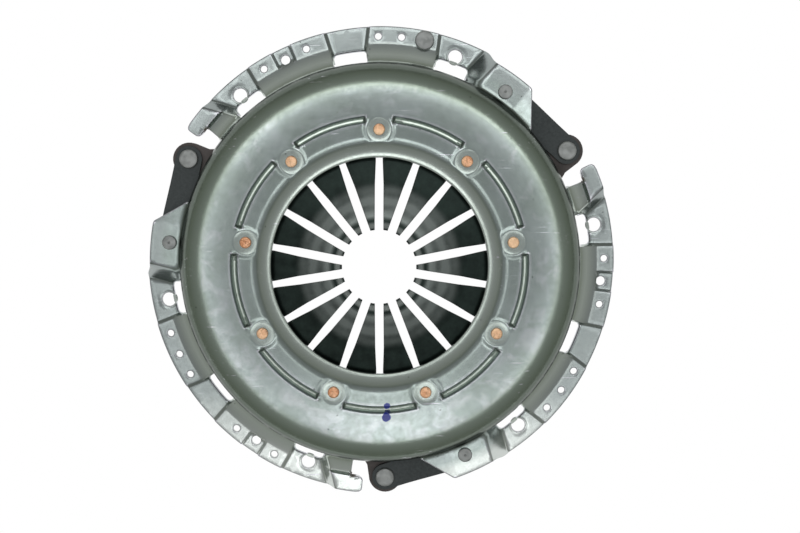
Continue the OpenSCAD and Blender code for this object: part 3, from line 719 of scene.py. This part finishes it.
# Scratches: three sets of long hairs, each broken up by the film
scratches = None
for turned, spacing, run in ((24, 1.3, 42), (-47, 1.9, 30), (81, 1.6, 55)):
    lay = add(tree, "Mapping", place, Rotation=(0, 0, math.radians(turned)),
              Scale=(per(run) / per(spacing), 1, 1))
    hair = add(tree, "TexNoise", lay, Scale=per(spacing), Detail=2.0)
    hair = add(tree, "MapRange", hair, 0.70, 0.76)
    scratches = hair if scratches is None else add(tree, "Math MAXIMUM", scratches, hair)
broken = add(tree, "MapRange", cloud, 0.5, 0.62, To_Max=0.7)
# Handling has scratched one place near the front on the right most
handled = add(tree, "VectorMath DISTANCE", flat_place, (93 * MM, -82 * MM, 0))
handled = add(tree, "MapRange", handled, 26 * MM, 14 * MM)
broken = add(tree, "Math MAXIMUM", broken, handled)
scratches = add(tree, "Math MULTIPLY", scratches, broken)
worn = add(tree, "Attribute", attribute_name="wear").outputs["Fac"]
sheared = add(tree, "MapRange", worn, 0.7, 0.95, To_Max=0.85)
# Painted shade: hollow creases are coloured darker
grime = add(tree, "MapRange", worn, -0.12, -0.6, To_Max=0.45)
worn = add(tree, "MapRange", worn, 0.06, 0.3, To_Max=0.85)
bright = add(tree, "Math MAXIMUM", scuff, scratches)
bright = add(tree, "Math MAXIMUM", bright, worn)
# Specks of dried oil and dirt
cells = add(tree, "TexVoronoi", place, Scale=per(7.5))
chosen = add(tree, "SeparateColor", cells.outputs["Color"])
chosen = add(tree, "MapRange", chosen, 0.72, 0.74)
speck = add(tree, "MapRange", cells.outputs["Distance"], 0.085, 0.05, To_Max=0.75)
speck = add(tree, "Math MULTIPLY", speck, chosen)
# The fracture in each notch is rusty, and sheared edges are dark with scale and oil, darkened further as
# painted shade
broken_edge = add(tree, "Attribute", attribute_name="notch").outputs["Fac"]
rusty = add(tree, "Math MULTIPLY", broken_edge, 0.9)
# Rubbed marks and painted highlights lighten the sheet; painted crease shade, dark sheared edges, specks and
# rust darken it
for share, tint in ((bright, "#D5D4DC"), (grime, "#3C4139"), (sheared, "#333934"), (speck, "#2E322C"),
                    (rusty, "#5A4A36")):
    colour = add(tree, "Mix RGBA", share, colour, linear(tint))
# Two dabs of blue marking paint beside a bead
paint = None
for centre, across in (((5.6, -104.0), 3.2), ((4.9, -112.2), 3.8)):
    off = add(tree, "VectorMath SUBTRACT", flat_place, ((centre[0] + 1.3) * MM, (centre[1] + 1.3) * MM, 0))
    blur = add(tree, "VectorMath SCALE", film.outputs["Color"], Scale=2.6 * MM)
    off = add(tree, "VectorMath ADD", off, blur)
    dab = add(tree, "VectorMath LENGTH", off)
    dab = add(tree, "MapRange", dab, across * MM, (across - 0.5) * MM)
    paint = dab if paint is None else add(tree, "Math MAXIMUM", paint, dab)
paint_colour = add(tree, "Mix RGBA", filmy, linear("#1C2A8E"), linear("#6F86D8"))
colour = add(tree, "Mix RGBA", paint, colour, paint_colour)
rough = add(tree, "MapRange", film, 0.3, 0.7, To_Min=0.19, To_Max=0.27)
rough = add(tree, "Mix", scuff, rough, 0.20)
rough = add(tree, "Mix", rusty, rough, 0.85)
metal = add(tree, "Math MAXIMUM", paint, rusty)
metal = add(tree, "Math SUBTRACT", 1.0, metal)
# Heights in millimetres: slow waves from the press, then the film, the grain and the scratches
relief = add(tree, "Math MULTIPLY", cloud, 0.13)
for pattern, depth in ((film, 0.012), (grain, 0.015), (scratches, -0.03)):
    relief = add(tree, "Math MULTIPLY_ADD", pattern, depth, relief)
coat(tree, colour, metal, rough, relief, 1, 1)
cover_mesh.materials.append(drawn_steel)
seat("cover_sheet", cover_mesh, "cover_assembly", "cover_steel", "cover", sharp=38)


# Diaphragm spring. One dished disc of hardened chrome vanadium steel, slotted into eighteen fingers that
# are set down at a bend and flattened at their tips. Each finger is a piece, because each one tilts.
fingers = 18
half_segment = 180 / fingers
spring_t, spring_r, tip_r, fulcrum_r = 3.2, 131, 27, 106.8
cone, finger_slope, crown_slope = 11, 17, 12
bend_at, crown_at, flat_at = 62, 39, 32
slot_w, slot_root_w, segment_gap = 6.3, 5.0, 0.4
window_r, edge_r_spring = 5.6, 0.45
pivot_z, nose_len, nose_drop, row_spread = 36.12, 1.2, 0.5, 1.2


def grow(tree, section, **inputs):
    """Runs a Geometry Nodes tree on a section, given as points, and returns the plain mesh."""
    base = bpy.data.meshes.new("section")
    base.from_pydata([tuple(p) for p in section], [], [])
    thing = bpy.data.objects.new("section", base)
    modifier = thing.modifiers.new("grow", "NODES")
    modifier.node_group = tree
    for name, value in inputs.items():
        modifier[tree.interface.items_tree[name.replace("_", " ")].identifier] = value
    bpy.context.scene.collection.objects.link(thing)
    bpy.context.view_layer.update()
    grown = bpy.data.meshes.new_from_object(thing.evaluated_get(bpy.context.evaluated_depsgraph_get()))
    thing.modifiers.remove(modifier)
    bpy.data.objects.remove(thing)
    return grown


def new_tree(name, numbers):
    """A Geometry Nodes tree with a section, numbers and a material as inputs, and its input node."""
    tree = bpy.data.node_groups.new(name, "GeometryNodeTree")
    tree.is_modifier = True
    tree.interface.new_socket("Geometry", in_out="OUTPUT", socket_type="NodeSocketGeometry")
    tree.interface.new_socket("Section", in_out="INPUT", socket_type="NodeSocketGeometry")
    for number in numbers:
        kind = "NodeSocketInt" if number in ("Rows", "Count", "Sides") else "NodeSocketFloat"
        tree.interface.new_socket(number, in_out="INPUT", socket_type=kind)
    tree.interface.new_socket("Material", in_out="INPUT", socket_type="NodeSocketMaterial")
    return tree, add(tree, "NodeGroupInput").outputs


def swept_rows(tree, given, rows):
    """A grid whose every row carries the section. Gives the grid, the row number and the section's point."""
    points = add(tree, "GeometryNodeAttributeDomainSize", Geometry=given["Section"])
    columns = add(tree, "Math ADD", points, 1)
    grid = add(tree, "GeometryNodeMeshGrid", Vertices_X=rows, Vertices_Y=columns)
    index = add(tree, "GeometryNodeInputIndex")
    row = add(tree, "Math FLOOR", add(tree, "Math DIVIDE", index, columns))
    turn = add(tree, "Math MODULO", add(tree, "Math MODULO", index, columns), points)
    point = add(tree, "GeometryNodeSampleIndex", Geometry=given["Section"],
                Value=add(tree, "GeometryNodeInputPosition"), Index=turn, data_type="FLOAT_VECTOR")
    return grid, row, add(tree, "SeparateXYZ", point).outputs


def around(tree, angle, radius):
    """The x and y of a point at an angle and a radius."""
    return [add(tree, "Math MULTIPLY", add(tree, "Math " + way, angle), radius)
            for way in ("COSINE", "SINE")]


# The section's x is a share of the finger's half width, its y an inset from the edge and its z a height
finger_tree, given = new_tree("spring_finger", (
    "Rows", "Rim radius", "Tip radius", "Slot width", "Root width", "Gap", "Window circle", "Window radius",
    "Fulcrum radius", "Fulcrum height", "Cone slope", "Bend radius", "Bend change", "Crown radius",
    "Crown change", "Flat radius", "Flat change", "Turn"))
tree = finger_tree
grid, row, section = swept_rows(tree, given, given["Rows"])
inward = add(tree, "Math DIVIDE", row, add(tree, "Math SUBTRACT", given["Rows"], 1))
outward_share = add(tree, "Math POWER", add(tree, "Math SUBTRACT", 1, inward), row_spread)
reach = add(tree, "Math SUBTRACT", given["Rim radius"], given["Tip radius"])
r = add(tree, "Math MULTIPLY_ADD", outward_share, reach, given["Tip radius"])
taper = add(tree, "MapRange", r, 60 * MM, 77 * MM, To_Min=given["Slot width"], To_Max=given["Root width"])
outside = add(tree, "Math GREATER_THAN", r, given["Window circle"])
slot = add(tree, "Mix", outside, taper, given["Gap"])
half_slot = add(tree, "Math MULTIPLY", slot, 0.5)
from_window = add(tree, "Math SUBTRACT", r, given["Window circle"])
bite = add(tree, "Math POWER", from_window, 2)
full = add(tree, "Math POWER", given["Window radius"], 2)
bite = add(tree, "Math MAXIMUM", add(tree, "Math SUBTRACT", full, bite), 0)
bite = add(tree, "Math SQRT", bite)
half_slot = add(tree, "Math MAXIMUM", half_slot, bite)
lost = add(tree, "Math ARCSINE", add(tree, "Math DIVIDE", half_slot, r))
half_angle = add(tree, "Math SUBTRACT", math.radians(half_segment), lost)
side = add(tree, "Math SIGN", section["X"])
inset = add(tree, "Math DIVIDE", section["Y"], r)
inset = add(tree, "Math MULTIPLY", inset, side)
angle = add(tree, "Math MULTIPLY", section["X"], half_angle)
angle = add(tree, "Math SUBTRACT", angle, inset)
angle = add(tree, "Math ADD", angle, given["Turn"])
height = add(tree, "Math SUBTRACT", given["Fulcrum radius"], r)
height = add(tree, "Math MULTIPLY_ADD", height, given["Cone slope"], given["Fulcrum height"])
for bend, blend_w in (("Bend", 6), ("Crown", 3), ("Flat", 3)):
    past = add(tree, "Math SUBTRACT", given[f"{bend} radius"], r)
    past = add(tree, "Math SMOOTH_MAX", past, 0, blend_w * MM)
    height = add(tree, "Math MULTIPLY_ADD", past, given[f"{bend} change"], height)
height = add(tree, "Math MULTIPLY_ADD", section["Z"], 1.02, height)
# The tip's edge is rounded off above and below
nose = add(tree, "Math SUBTRACT", (tip_r + nose_len) * MM, r)
nose = add(tree, "Math MAXIMUM", nose, 0)
nose = add(tree, "Math POWER", nose, 2)
above = add(tree, "Math SIGN", section["Z"])
nose = add(tree, "Math MULTIPLY", nose, above)
height = add(tree, "Math MULTIPLY_ADD", nose, -nose_drop / (nose_len ** 2 * MM), height)
x, y = around(tree, angle, r)
moved = add(tree, "CombineXYZ", X=x, Y=y, Z=height)
shaped = add(tree, "GeometryNodeSetPosition", Geometry=grid, Position=moved)
shaped = add(tree, "GeometryNodeRealizeInstances", Geometry=shaped)
shaped = add(tree, "GeometryNodeSetMaterial", Geometry=shaped, Material=given["Material"])
add(tree, "NodeGroupOutput", Geometry=shaped)

half_t = spring_t / 2
corner = [(edge_r_spring * (1 - math.sin(t)), half_t - edge_r_spring * (1 - math.cos(t)))
          for t in (0, math.pi / 6, math.pi / 3, math.pi / 2)]
finger_section = [(s, 0, half_t) for s in (-0.5, -0.25, 0, 0.25, 0.5)]
finger_section += [(1, inset, z) for inset, z in corner] + [(1, inset, -z) for inset, z in corner[::-1]]
finger_section += [(s, 0, -half_t) for s in (0.5, 0, -0.5)]
finger_section += [(-1, inset, -z) for inset, z in corner] + [(-1, inset, z) for inset, z in corner[::-1]]
finger_section = [(s, inset * MM, z * MM) for s, inset, z in finger_section]

# Hardened and tempered spring steel, oil-quenched: a near-black oxide skin with a green cast, a little
# mottled by the quench, that still mirrors soft light because the sheet beneath was rolled smooth.
spring_steel, tree, place = new_material("hardened_spring_steel_oxide")
quench = add(tree, "TexNoise", place, Scale=per(9), Detail=5.0, Roughness=0.6)
pits = add(tree, "TexNoise", place, Scale=per(0.8), Detail=3.0)
mottle = add(tree, "MapRange", quench, 0.35, 0.68)
colour = add(tree, "Mix RGBA", mottle, linear("#1A2320"), linear("#28332F"))
flat_place, radius = from_axis(tree, place)
# Lighter rings in the set-down part, brushing marks and painted highlight bands together, and where the
# release bearing has run
brushed_in = add(tree, "MapRange", radius, 63 * MM, 49 * MM, interpolation_type="SMOOTHSTEP")
brushed_out = add(tree, "MapRange", radius, 33.5 * MM, 38 * MM, interpolation_type="SMOOTHSTEP")
brushing = add(tree, "Math MULTIPLY", radius, 2 * math.pi * per(9.6))
brushing = add(tree, "Math COSINE", brushing)
brushing = add(tree, "MapRange", brushing, -1.0, To_Min=0.45)
brushing = add(tree, "Math MULTIPLY_ADD", mottle, 0.35, brushing)
brushed = add(tree, "Math MULTIPLY", brushed_in, brushed_out)
brushed = add(tree, "Math MULTIPLY", brushed, brushing)
colour = add(tree, "Mix RGBA", brushed, colour, linear("#757C79"))
run_in = add(tree, "MapRange", radius, 27.8 * MM, 29 * MM)
run_out = add(tree, "MapRange", radius, 33 * MM, 31 * MM, To_Max=0.6)
run_ring = add(tree, "Math MULTIPLY", run_in, run_out)
colour = add(tree, "Mix RGBA", run_ring, colour, linear("#8A908C"))
rough = add(tree, "MapRange", quench, 0.3, 0.7, To_Min=0.3, To_Max=0.42)
coat(tree, colour, 0.85, rough, pits, 0.3, 0.04)

slopes = [math.tan(math.radians(a)) for a in (cone, finger_slope, crown_slope)]
for k in range(fingers):
    grown = grow(finger_tree, finger_section, Rows=130, Rim_radius=spring_r * MM, Tip_radius=tip_r * MM,
                 Slot_width=slot_w * MM, Root_width=slot_root_w * MM, Gap=segment_gap * MM,
                 Window_circle=rivet_circle_r * MM, Window_radius=window_r * MM,
                 Fulcrum_radius=fulcrum_r * MM, Fulcrum_height=pivot_z * MM, Cone_slope=slopes[0],
                 Bend_radius=bend_at * MM, Bend_change=slopes[1] - slopes[0],
                 Crown_radius=crown_at * MM, Crown_change=slopes[2] - slopes[1],
                 Flat_radius=flat_at * MM, Flat_change=-slopes[2],
                 Turn=math.radians(2 * half_segment * k), Material=spring_steel)
    seat(f"finger_{k + 1:02d}_spring", grown, f"finger_{k + 1:02d}", "spring_steel",
         f"diaphragm_finger_{k + 1:02d}")


# Fulcrum wire ring. A hoop of drawn spring wire that lies under the fingers, opposite the cover's beads,
# and is held up by the feet of the fulcrum rivets.
wire_r, wire_ring_z = 2.5, 31.586
ring_tree, given = new_tree("turned_pieces_on_a_circle", ("Sides", "Count", "Circle radius", "First angle"))
tree = ring_tree
columns_around = add(tree, "Math ADD", given["Sides"], 1)
grid, row, section = swept_rows(tree, given, columns_around)
spin = add(tree, "Math DIVIDE", row, given["Sides"])
spin = add(tree, "Math MULTIPLY", spin, 2 * math.pi)
x, y = around(tree, spin, section["X"])
moved = add(tree, "CombineXYZ", X=x, Y=y, Z=section["Z"])
turned_piece = add(tree, "GeometryNodeSetPosition", Geometry=grid, Position=moved)
turned_piece = add(tree, "GeometryNodeMergeByDistance", Geometry=turned_piece, Distance=0.002 * MM)
spots_line = add(tree, "GeometryNodeMeshLine", Count=given["Count"])
index = add(tree, "GeometryNodeInputIndex")
bearing = add(tree, "Math DIVIDE", index, given["Count"])
bearing = add(tree, "Math MULTIPLY_ADD", bearing, 2 * math.pi, given["First angle"])
x, y = around(tree, bearing, given["Circle radius"])
spot = add(tree, "CombineXYZ", X=x, Y=y)
spots_line = add(tree, "GeometryNodeSetPosition", Geometry=spots_line, Position=spot)
heading = add(tree, "CombineXYZ", Z=bearing)
placed = add(tree, "GeometryNodeInstanceOnPoints", Points=spots_line, Instance=turned_piece,
             Rotation=heading)
placed = add(tree, "GeometryNodeRealizeInstances", Geometry=placed)
placed = add(tree, "GeometryNodeSetMaterial", Geometry=placed, Material=given["Material"])
add(tree, "NodeGroupOutput", Geometry=placed)


def turned(name, section, body, slot, material, node, count, circle, first, sides=40, sharp=35):
    """A lathed piece, or a circle of them, from a section given as radius and height in millimetres."""
    points = [(r * MM, 0, z * MM) for r, z in section]
    grown = grow(ring_tree, points, Sides=sides, Count=count, Circle_radius=circle * MM,
                 First_angle=math.radians(first), Material=material)
    return seat(name, grown, body, slot, node, sharp=sharp)


# Drawn spring wire: bright grey, with die lines too fine to show, drawn here 0.7 mm apart
drawn_wire, tree, place = new_material("drawn_spring_wire")
die_lines = add(tree, "TexNoise", place, Scale=per(0.7), Detail=3.0)
colour = add(tree, "Mix RGBA", die_lines, linear("#5E6262"), linear("#8E9292"))
coat(tree, colour, 1.0, 0.36, die_lines, 0.2, 0.03)
turned("fulcrum_wire", arc((fulcrum_r, wire_ring_z), wire_r, 0, 360, 21)[:-1], "cover_assembly",
       "wire_steel", drawn_wire, "fulcrum_wire_ring", 1, 0, 0, sides=180)


# Fulcrum rivets. Nine shouldered rivets, copper plated, whose feet carry the wire ring. Their necks pass
# through the dome and are upset on top into small, nearly flat heads.
seat_gap = 0.05
foot_top = wire_ring_z - wire_r - seat_gap
foot_t, foot_rivet_r, shank_r, neck_r, copper_head_r = 3.5, 8.5, 3.8, 3.0, 4.25
foot_chamfer_w, foot_chamfer_h = 1.5, 1.1
land_z = dome_h - land_depth + 0.02


def upset_head(low, high, radius_, corner_r, crown_h, dimple_r=0, dimple_depth=0):
    """Section of a rivet's head from its rim to its middle, with an optional dimple."""
    head = [(radius_ - 0.15, low), (radius_, low + 0.15)]
    head += [tuple(p) for p in arc((radius_ - corner_r, high - crown_h - corner_r), corner_r, 0, 80, 6)]
    head += [(radius_ * s, high - crown_h * s ** 2) for s in (0.75, 0.5, 0.35)]
    if dimple_r:
        head += [(dimple_r, high), (dimple_r * 0.6, high - dimple_depth * 0.7), (0, high - dimple_depth)]
    else:
        head.append((0, high))
    return head


# Copper plate on steel: warm salmon where it is bright, brown where it has tarnished or was struck
copper, tree, place = new_material("copper_plate_upset")
tarnish = add(tree, "TexNoise", place, Scale=per(3.2), Detail=6.0, Roughness=0.68, Distortion=0.8)
struck = add(tree, "TexNoise", place, Scale=per(1.5), Detail=4.0, Distortion=1.5)
colour = two_tone(tree, tarnish, 0.40, 0.62, "#F0BE98", "#C98A63")
dark_share = add(tree, "MapRange", struck, 0.53, 0.66, To_Max=0.75)
colour = add(tree, "Mix RGBA", dark_share, colour, linear("#7A4A30"))
# No two heads were struck alike: some are bright gold on top
head_by_head = add(tree, "TexNoise", place, Scale=per(55), Detail=1.0)
bright_head = add(tree, "MapRange", head_by_head, 0.5, 0.62, To_Max=0.55)
colour = add(tree, "Mix RGBA", bright_head, colour, linear("#FBE0B8"))
rough = add(tree, "MapRange", struck, 0.3, 0.7, To_Min=0.3, To_Max=0.5)
coat(tree, colour, 1.0, rough, struck, 1, 0.3)
foot_low = foot_top - foot_t
fulcrum_section = [(0, foot_low), (foot_rivet_r - foot_chamfer_w, foot_low),
                   (foot_rivet_r, foot_low + foot_chamfer_h), (foot_rivet_r, foot_top), (shank_r, foot_top),
                   (shank_r, dome_h - sheet_t - seat_gap), (neck_r, dome_h - sheet_t - seat_gap),
                   (neck_r, land_z)]
fulcrum_section += upset_head(land_z, land_z + 1.75, copper_head_r, 0.7, 0.12)
turned("fulcrum_rivet_set", fulcrum_section, "cover_assembly", "copper_plate", copper, "fulcrum_rivets",
       9, rivet_circle_r, 10)


# Pressure plate. A ring of grey cast iron with three lugs on its rim and a broken ridge that the spring
# presses on. Its face is machined; the rest is as cast. Its shape is the frame's, with softened edges.
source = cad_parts["pressure_plate"]
grown = source.data.copy()
work = bmesh.new()
work.from_mesh(grown)
bmesh.ops.remove_doubles(work, verts=work.verts, dist=weld)
bmesh.ops.dissolve_limit(work, angle_limit=math.radians(0.6), verts=work.verts, edges=work.edges)
soft = [e for e in work.edges if len(e.link_faces) == 2 and e.calc_face_angle(0) > math.radians(28)]
bmesh.ops.bevel(work, geom=soft, offset=0.7 * MM, segments=3, profile=0.5, affect="EDGES", clamp_overlap=True)
bmesh.ops.triangulate(work, faces=[f for f in work.faces if len(f.verts) > 4])
work.to_mesh(grown)
work.free()
grown.materials.clear()
cast_iron, tree, place = new_material("grey_iron_as_cast")
sand = add(tree, "TexNoise", place, Scale=per(1.1), Detail=6.0, Roughness=0.7)
stain = add(tree, "TexNoise", place, Scale=per(14), Detail=4.0)
colour = two_tone(tree, stain, 0.38, 0.64, "#5D5856", "#4A4644")
# The friction face is ground: it lies lowest, and its tool marks are rings
heights = add(tree, "SeparateXYZ", place)
ground_face = add(tree, "MapRange", heights.outputs["Z"], 3.9 * MM, 3.6 * MM)
flat_place, radius = from_axis(tree, place)
tool_marks = add(tree, "Math MULTIPLY", radius, 2 * math.pi * per(0.9))
tool_marks = add(tree, "Math SINE", tool_marks)
marked = add(tree, "MapRange", tool_marks, -1.0)
machined = add(tree, "Mix RGBA", marked, linear("#8B8E8F"), linear("#A4A7A8"))
colour = add(tree, "Mix RGBA", ground_face, colour, machined)
rough = add(tree, "Mix", ground_face, 0.62, 0.34)
metal = add(tree, "Mix", ground_face, 0.55, 1.0)
relief = add(tree, "Mix", ground_face, sand, marked)
coat(tree, colour, metal, rough, relief, 0.6, 0.15)
grown.materials.append(cast_iron)
seat("cast_plate", grown, "pressure_plate", "cast_iron", "pressure_plate", sharp=30)


# Lug rivets. Three broad steel rivets that hold the straps to the plate's lugs, with flat upset heads.
lug_top, lug_t, pack_t = 19.6, 10, 2.4
lug_rivet_r, lug_rivet_at, lug_head_r, lug_shank_r = 163.6, 31.2, 7, 4.6
phosphated, tree, place = new_material("phosphated_rivet_steel")
grainy = add(tree, "TexNoise", place, Scale=per(1.0), Detail=5.0, Roughness=0.7)
blotch = add(tree, "TexNoise", place, Scale=per(5), Detail=4.0)
colour = two_tone(tree, blotch, 0.35, 0.65, "#A2A5A3", "#868987")
light_grain = add(tree, "MapRange", grainy, 0.55, 0.7, To_Max=0.35)
colour = add(tree, "Mix RGBA", light_grain, colour, linear("#A3A5A3"))
coat(tree, colour, 0.75, 0.5, grainy, 0.5, 0.08)
seat_z, pack_top = lug_top - lug_t + 2.5, lug_top + pack_t
lug_foot_low, lug_chamfer_w, lug_chamfer_h = seat_z - 2.25, 1, 0.8
lug_section = [(0, lug_foot_low), (lug_head_r - lug_chamfer_w, lug_foot_low),
               (lug_head_r, lug_foot_low + lug_chamfer_h),
               (lug_head_r, seat_z - seat_gap), (lug_shank_r, seat_z - seat_gap),
               (lug_shank_r, pack_top + seat_gap)]
lug_section += upset_head(pack_top + seat_gap, pack_top + 2.4, lug_head_r, 1.1, 0.15)
turned("lug_rivet_set", lug_section, "pressure_plate", "rivet_steel", phosphated, "lug_rivets",
       3, lug_rivet_r, lug_rivet_at, sides=56)


# Drive straps. Three packs of three leaves of spring steel strip, blanked with round ends and cranked
# down from the cover's pads to the plate's lugs. They pull the plate round and bend as it lifts.
leaf_t, leaf_gap, leaf_half_w, crank_at = 0.8, 0.04, 9.8, 10
strap_rivet_r, strap_rivet_at, strap_shank_r = 158, 54, 3.6
strap_high_z, strap_low_z = 26 - pack_t, lug_top
strap_start, strap_end = plan(strap_rivet_r, strap_rivet_at), plan(lug_rivet_r, lug_rivet_at)
strap_len = float(np.linalg.norm(strap_end - strap_start))
leaf_outline = refined(np.concatenate([arc((0, 0), leaf_half_w, 90, 270, 19),
                                       arc((strap_len, 0), leaf_half_w, -90, 90, 19)]), 3.0)
leaf_holes = [arc((0, 0), strap_shank_r + 0.1, 0, 360, 25)[:-1],
              arc((strap_len, 0), lug_shank_r + 0.1, 0, 360, 25)[:-1]]
coords, edges = [], []
for outline in [leaf_outline] + leaf_holes:
    put(outline, True)
near = tree_of(coords)
stations = np.stack(np.meshgrid(np.linspace(-8, strap_len + 8, 32), np.linspace(-8, 8, 8)), -1).reshape(-1, 2)
coords.extend(p for p in stations if clear(p, 1.2))
leaf_flat, leaf_faces = triangulated()
centres = leaf_flat[leaf_faces].mean(1)
keep = inside(centres, leaf_outline)
for outline in leaf_holes:
    keep &= ~inside(centres, outline)
leaf_faces = leaf_faces[keep]
wrong = way_round(leaf_flat, leaf_faces) < 0
leaf_faces[wrong] = leaf_faces[wrong][:, ::-1]
leaf_rim = rim_of(leaf_faces)

# Blued strip: a dark, even oxide with a faint sheen and the strip mill's grain along the leaf
blued, tree, place = new_material("blued_spring_strip")
mill = add(tree, "TexNoise", place, Scale=per(2.2), Detail=5.0, Roughness=0.6)
colour = two_tone(tree, mill, 0.35, 0.66, "#353A3A", "#454A4A")
rough = add(tree, "MapRange", mill, 0.3, 0.7, To_Min=0.42, To_Max=0.56)
coat(tree, colour, 0.6, rough, mill, 0.25, 0.04)

for pack in range(3):
    start, end = (plan(np.hypot(*p), math.degrees(math.atan2(p[1], p[0])) + third * pack)
                  for p in (strap_start, strap_end))
    run = (end - start) / strap_len
    for level, letter in enumerate(("lower", "middle", "upper")):
        share_down = np.clip((leaf_flat[:, 0] - crank_at) / (strap_len - 2 * crank_at), 0, 1)
        low = strap_high_z + (strap_low_z - strap_high_z) * (3 * share_down ** 2 - 2 * share_down ** 3)
        low = low + level * leaf_t
        ground = start + leaf_flat[:, :1] * run + leaf_flat[:, 1:] * np.array([-run[1], run[0]])
        shell_points = [np.column_stack([ground, low + lift]) for lift in (0, leaf_t - leaf_gap)]
        count = len(leaf_flat)
        leaf_polygons = [tuple(f + count) for f in leaf_faces] + [tuple(f[::-1]) for f in leaf_faces]
        leaf_polygons += [(a, b, b + count, a + count) for a, b in leaf_rim]
        leaf = bpy.data.meshes.new("strap_leaf")
        leaf.from_pydata((np.concatenate(shell_points) * MM).tolist(), [], leaf_polygons)
        leaf.materials.append(blued)
        piece = piece_of(f"strap_leaf_{pack + 1}_{letter}", leaf)
        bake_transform(piece)
        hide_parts(f"drive_strap_{pack + 1}_{letter}")


# Strap rivets. Three steel rivets that hold the straps under the cover's pads, with a punch mark in
# the middle of each head.
strap_head_r = 5.3
strap_top = strap_pad_top + 0.03
strap_low = strap_high_z - seat_gap
strap_foot_low, strap_chamfer_w, strap_chamfer_h = strap_low - 2.4, 0.8, 0.6
strap_section = [(0, strap_foot_low), (strap_head_r - strap_chamfer_w, strap_foot_low),
                 (strap_head_r, strap_foot_low + strap_chamfer_h), (strap_head_r, strap_low),
                 (strap_shank_r, strap_low), (strap_shank_r, strap_top)]
strap_section += upset_head(strap_top, strap_top + 2.1, strap_head_r, 0.7, 0.15, 0.9, 0.8)
turned("strap_rivet_set", strap_section, "cover_assembly", "rivet_steel", phosphated, "strap_rivets",
       3, strap_rivet_r, strap_rivet_at, sides=48)


# Balance rivet. One plain steel rivet in a balance hole, set there when the clutch was balanced.
balance_head_r, balance_head_h, balance_shank_r, balance_foot_r = 7.2, 3.4, 2.5, 4.3
balance_foot_low, balance_foot_top = 0.4, 1.95
balance_section = [(0, balance_foot_low), (balance_foot_r - 0.4, balance_foot_low),
                   (balance_foot_r, balance_foot_top), (balance_shank_r, balance_foot_top),
                   (balance_shank_r, flange_top + seat_gap)]
balance_section += upset_head(flange_top + seat_gap, flange_top + balance_head_h, balance_head_r, 1.0, 0.2)
turned("balance_rivet_plain", balance_section, "cover_assembly", "rivet_steel", phosphated, "balance_rivet",
       1, balance_circle_r, balance_at[-1], sides=56)


# Studio. A pale floor that reads white behind the cover, a soft overcast roof of light that falls away
# towards the horizon, and a ring of eight soft boxes round the camera, strongest at the back.
bpy.ops.mesh.primitive_plane_add(size=40, location=(0, 0, -0.6 * MM))
floor = bpy.context.object
floor.name = "floor"
paper = bpy.data.materials.new("white_paper_floor")
paper.use_nodes = True
tree = paper.node_tree
tree.nodes.clear()
path = add(tree, "LightPath")
seen = add(tree, "Math MAXIMUM", path.outputs["Is Camera Ray"], path.outputs["Is Glossy Ray"])
seen = add(tree, "Math MAXIMUM", seen, path.outputs["Is Transmission Ray"])
lit = add(tree, "BsdfDiffuse", Color=linear("#F2F2F2"))
glow = add(tree, "Emission", Color=(1, 1, 1, 1), Strength=1.0)
paper_surface = add(tree, "MixShader", seen, lit, glow)
add(tree, "OutputMaterial", Surface=paper_surface)
floor.data.materials.append(paper)
# Watts, distance from the camera's axis, depth and width of each box, counter-clockwise from the right
box_height = 1.25
boxes = ((0.41, 0.53, 0.27, 0.40), (0.84, 0.52, 0.27, 0.40), (0.88, 0.51, 0.27, 0.40),
         (0.80, 0.52, 0.27, 0.40), (0.42, 0.53, 0.27, 0.40), (0.38, 0.55, 0.25, 0.40),
         (0.70, 0.46, 0.33, 0.30), (0.46, 0.56, 0.26, 0.38))
for k, (power, distance, depth, width) in enumerate(boxes):
    bearing = 2 * math.pi * k / len(boxes)
    lamp = bpy.data.lights.new(f"soft box {k + 1}", "AREA")
    lamp.shape, lamp.size, lamp.size_y, lamp.energy = "RECTANGLE", depth, width, power
    stand = bpy.data.objects.new(f"soft box {k + 1}", lamp)
    bpy.context.scene.collection.objects.link(stand)
    stand.location = (distance * math.cos(bearing), distance * math.sin(bearing), box_height)
    stand.rotation_euler = (0, 0, bearing)
world = bpy.data.worlds.new("studio")
bpy.context.scene.world = world
world.use_nodes = True
tree = world.node_tree
tree.nodes.clear()
sky = add(tree, "SeparateXYZ", add(tree, "TexCoord").outputs["Generated"])
up = add(tree, "MapRange", sky.outputs["Z"], 0.3, 0.95)
tint = add(tree, "Mix RGBA", up, linear("#92948E"), linear("#B7B7B9"))
background = add(tree, "Background", Color=tint, Strength=1.0)
add(tree, "OutputWorld", Surface=background)
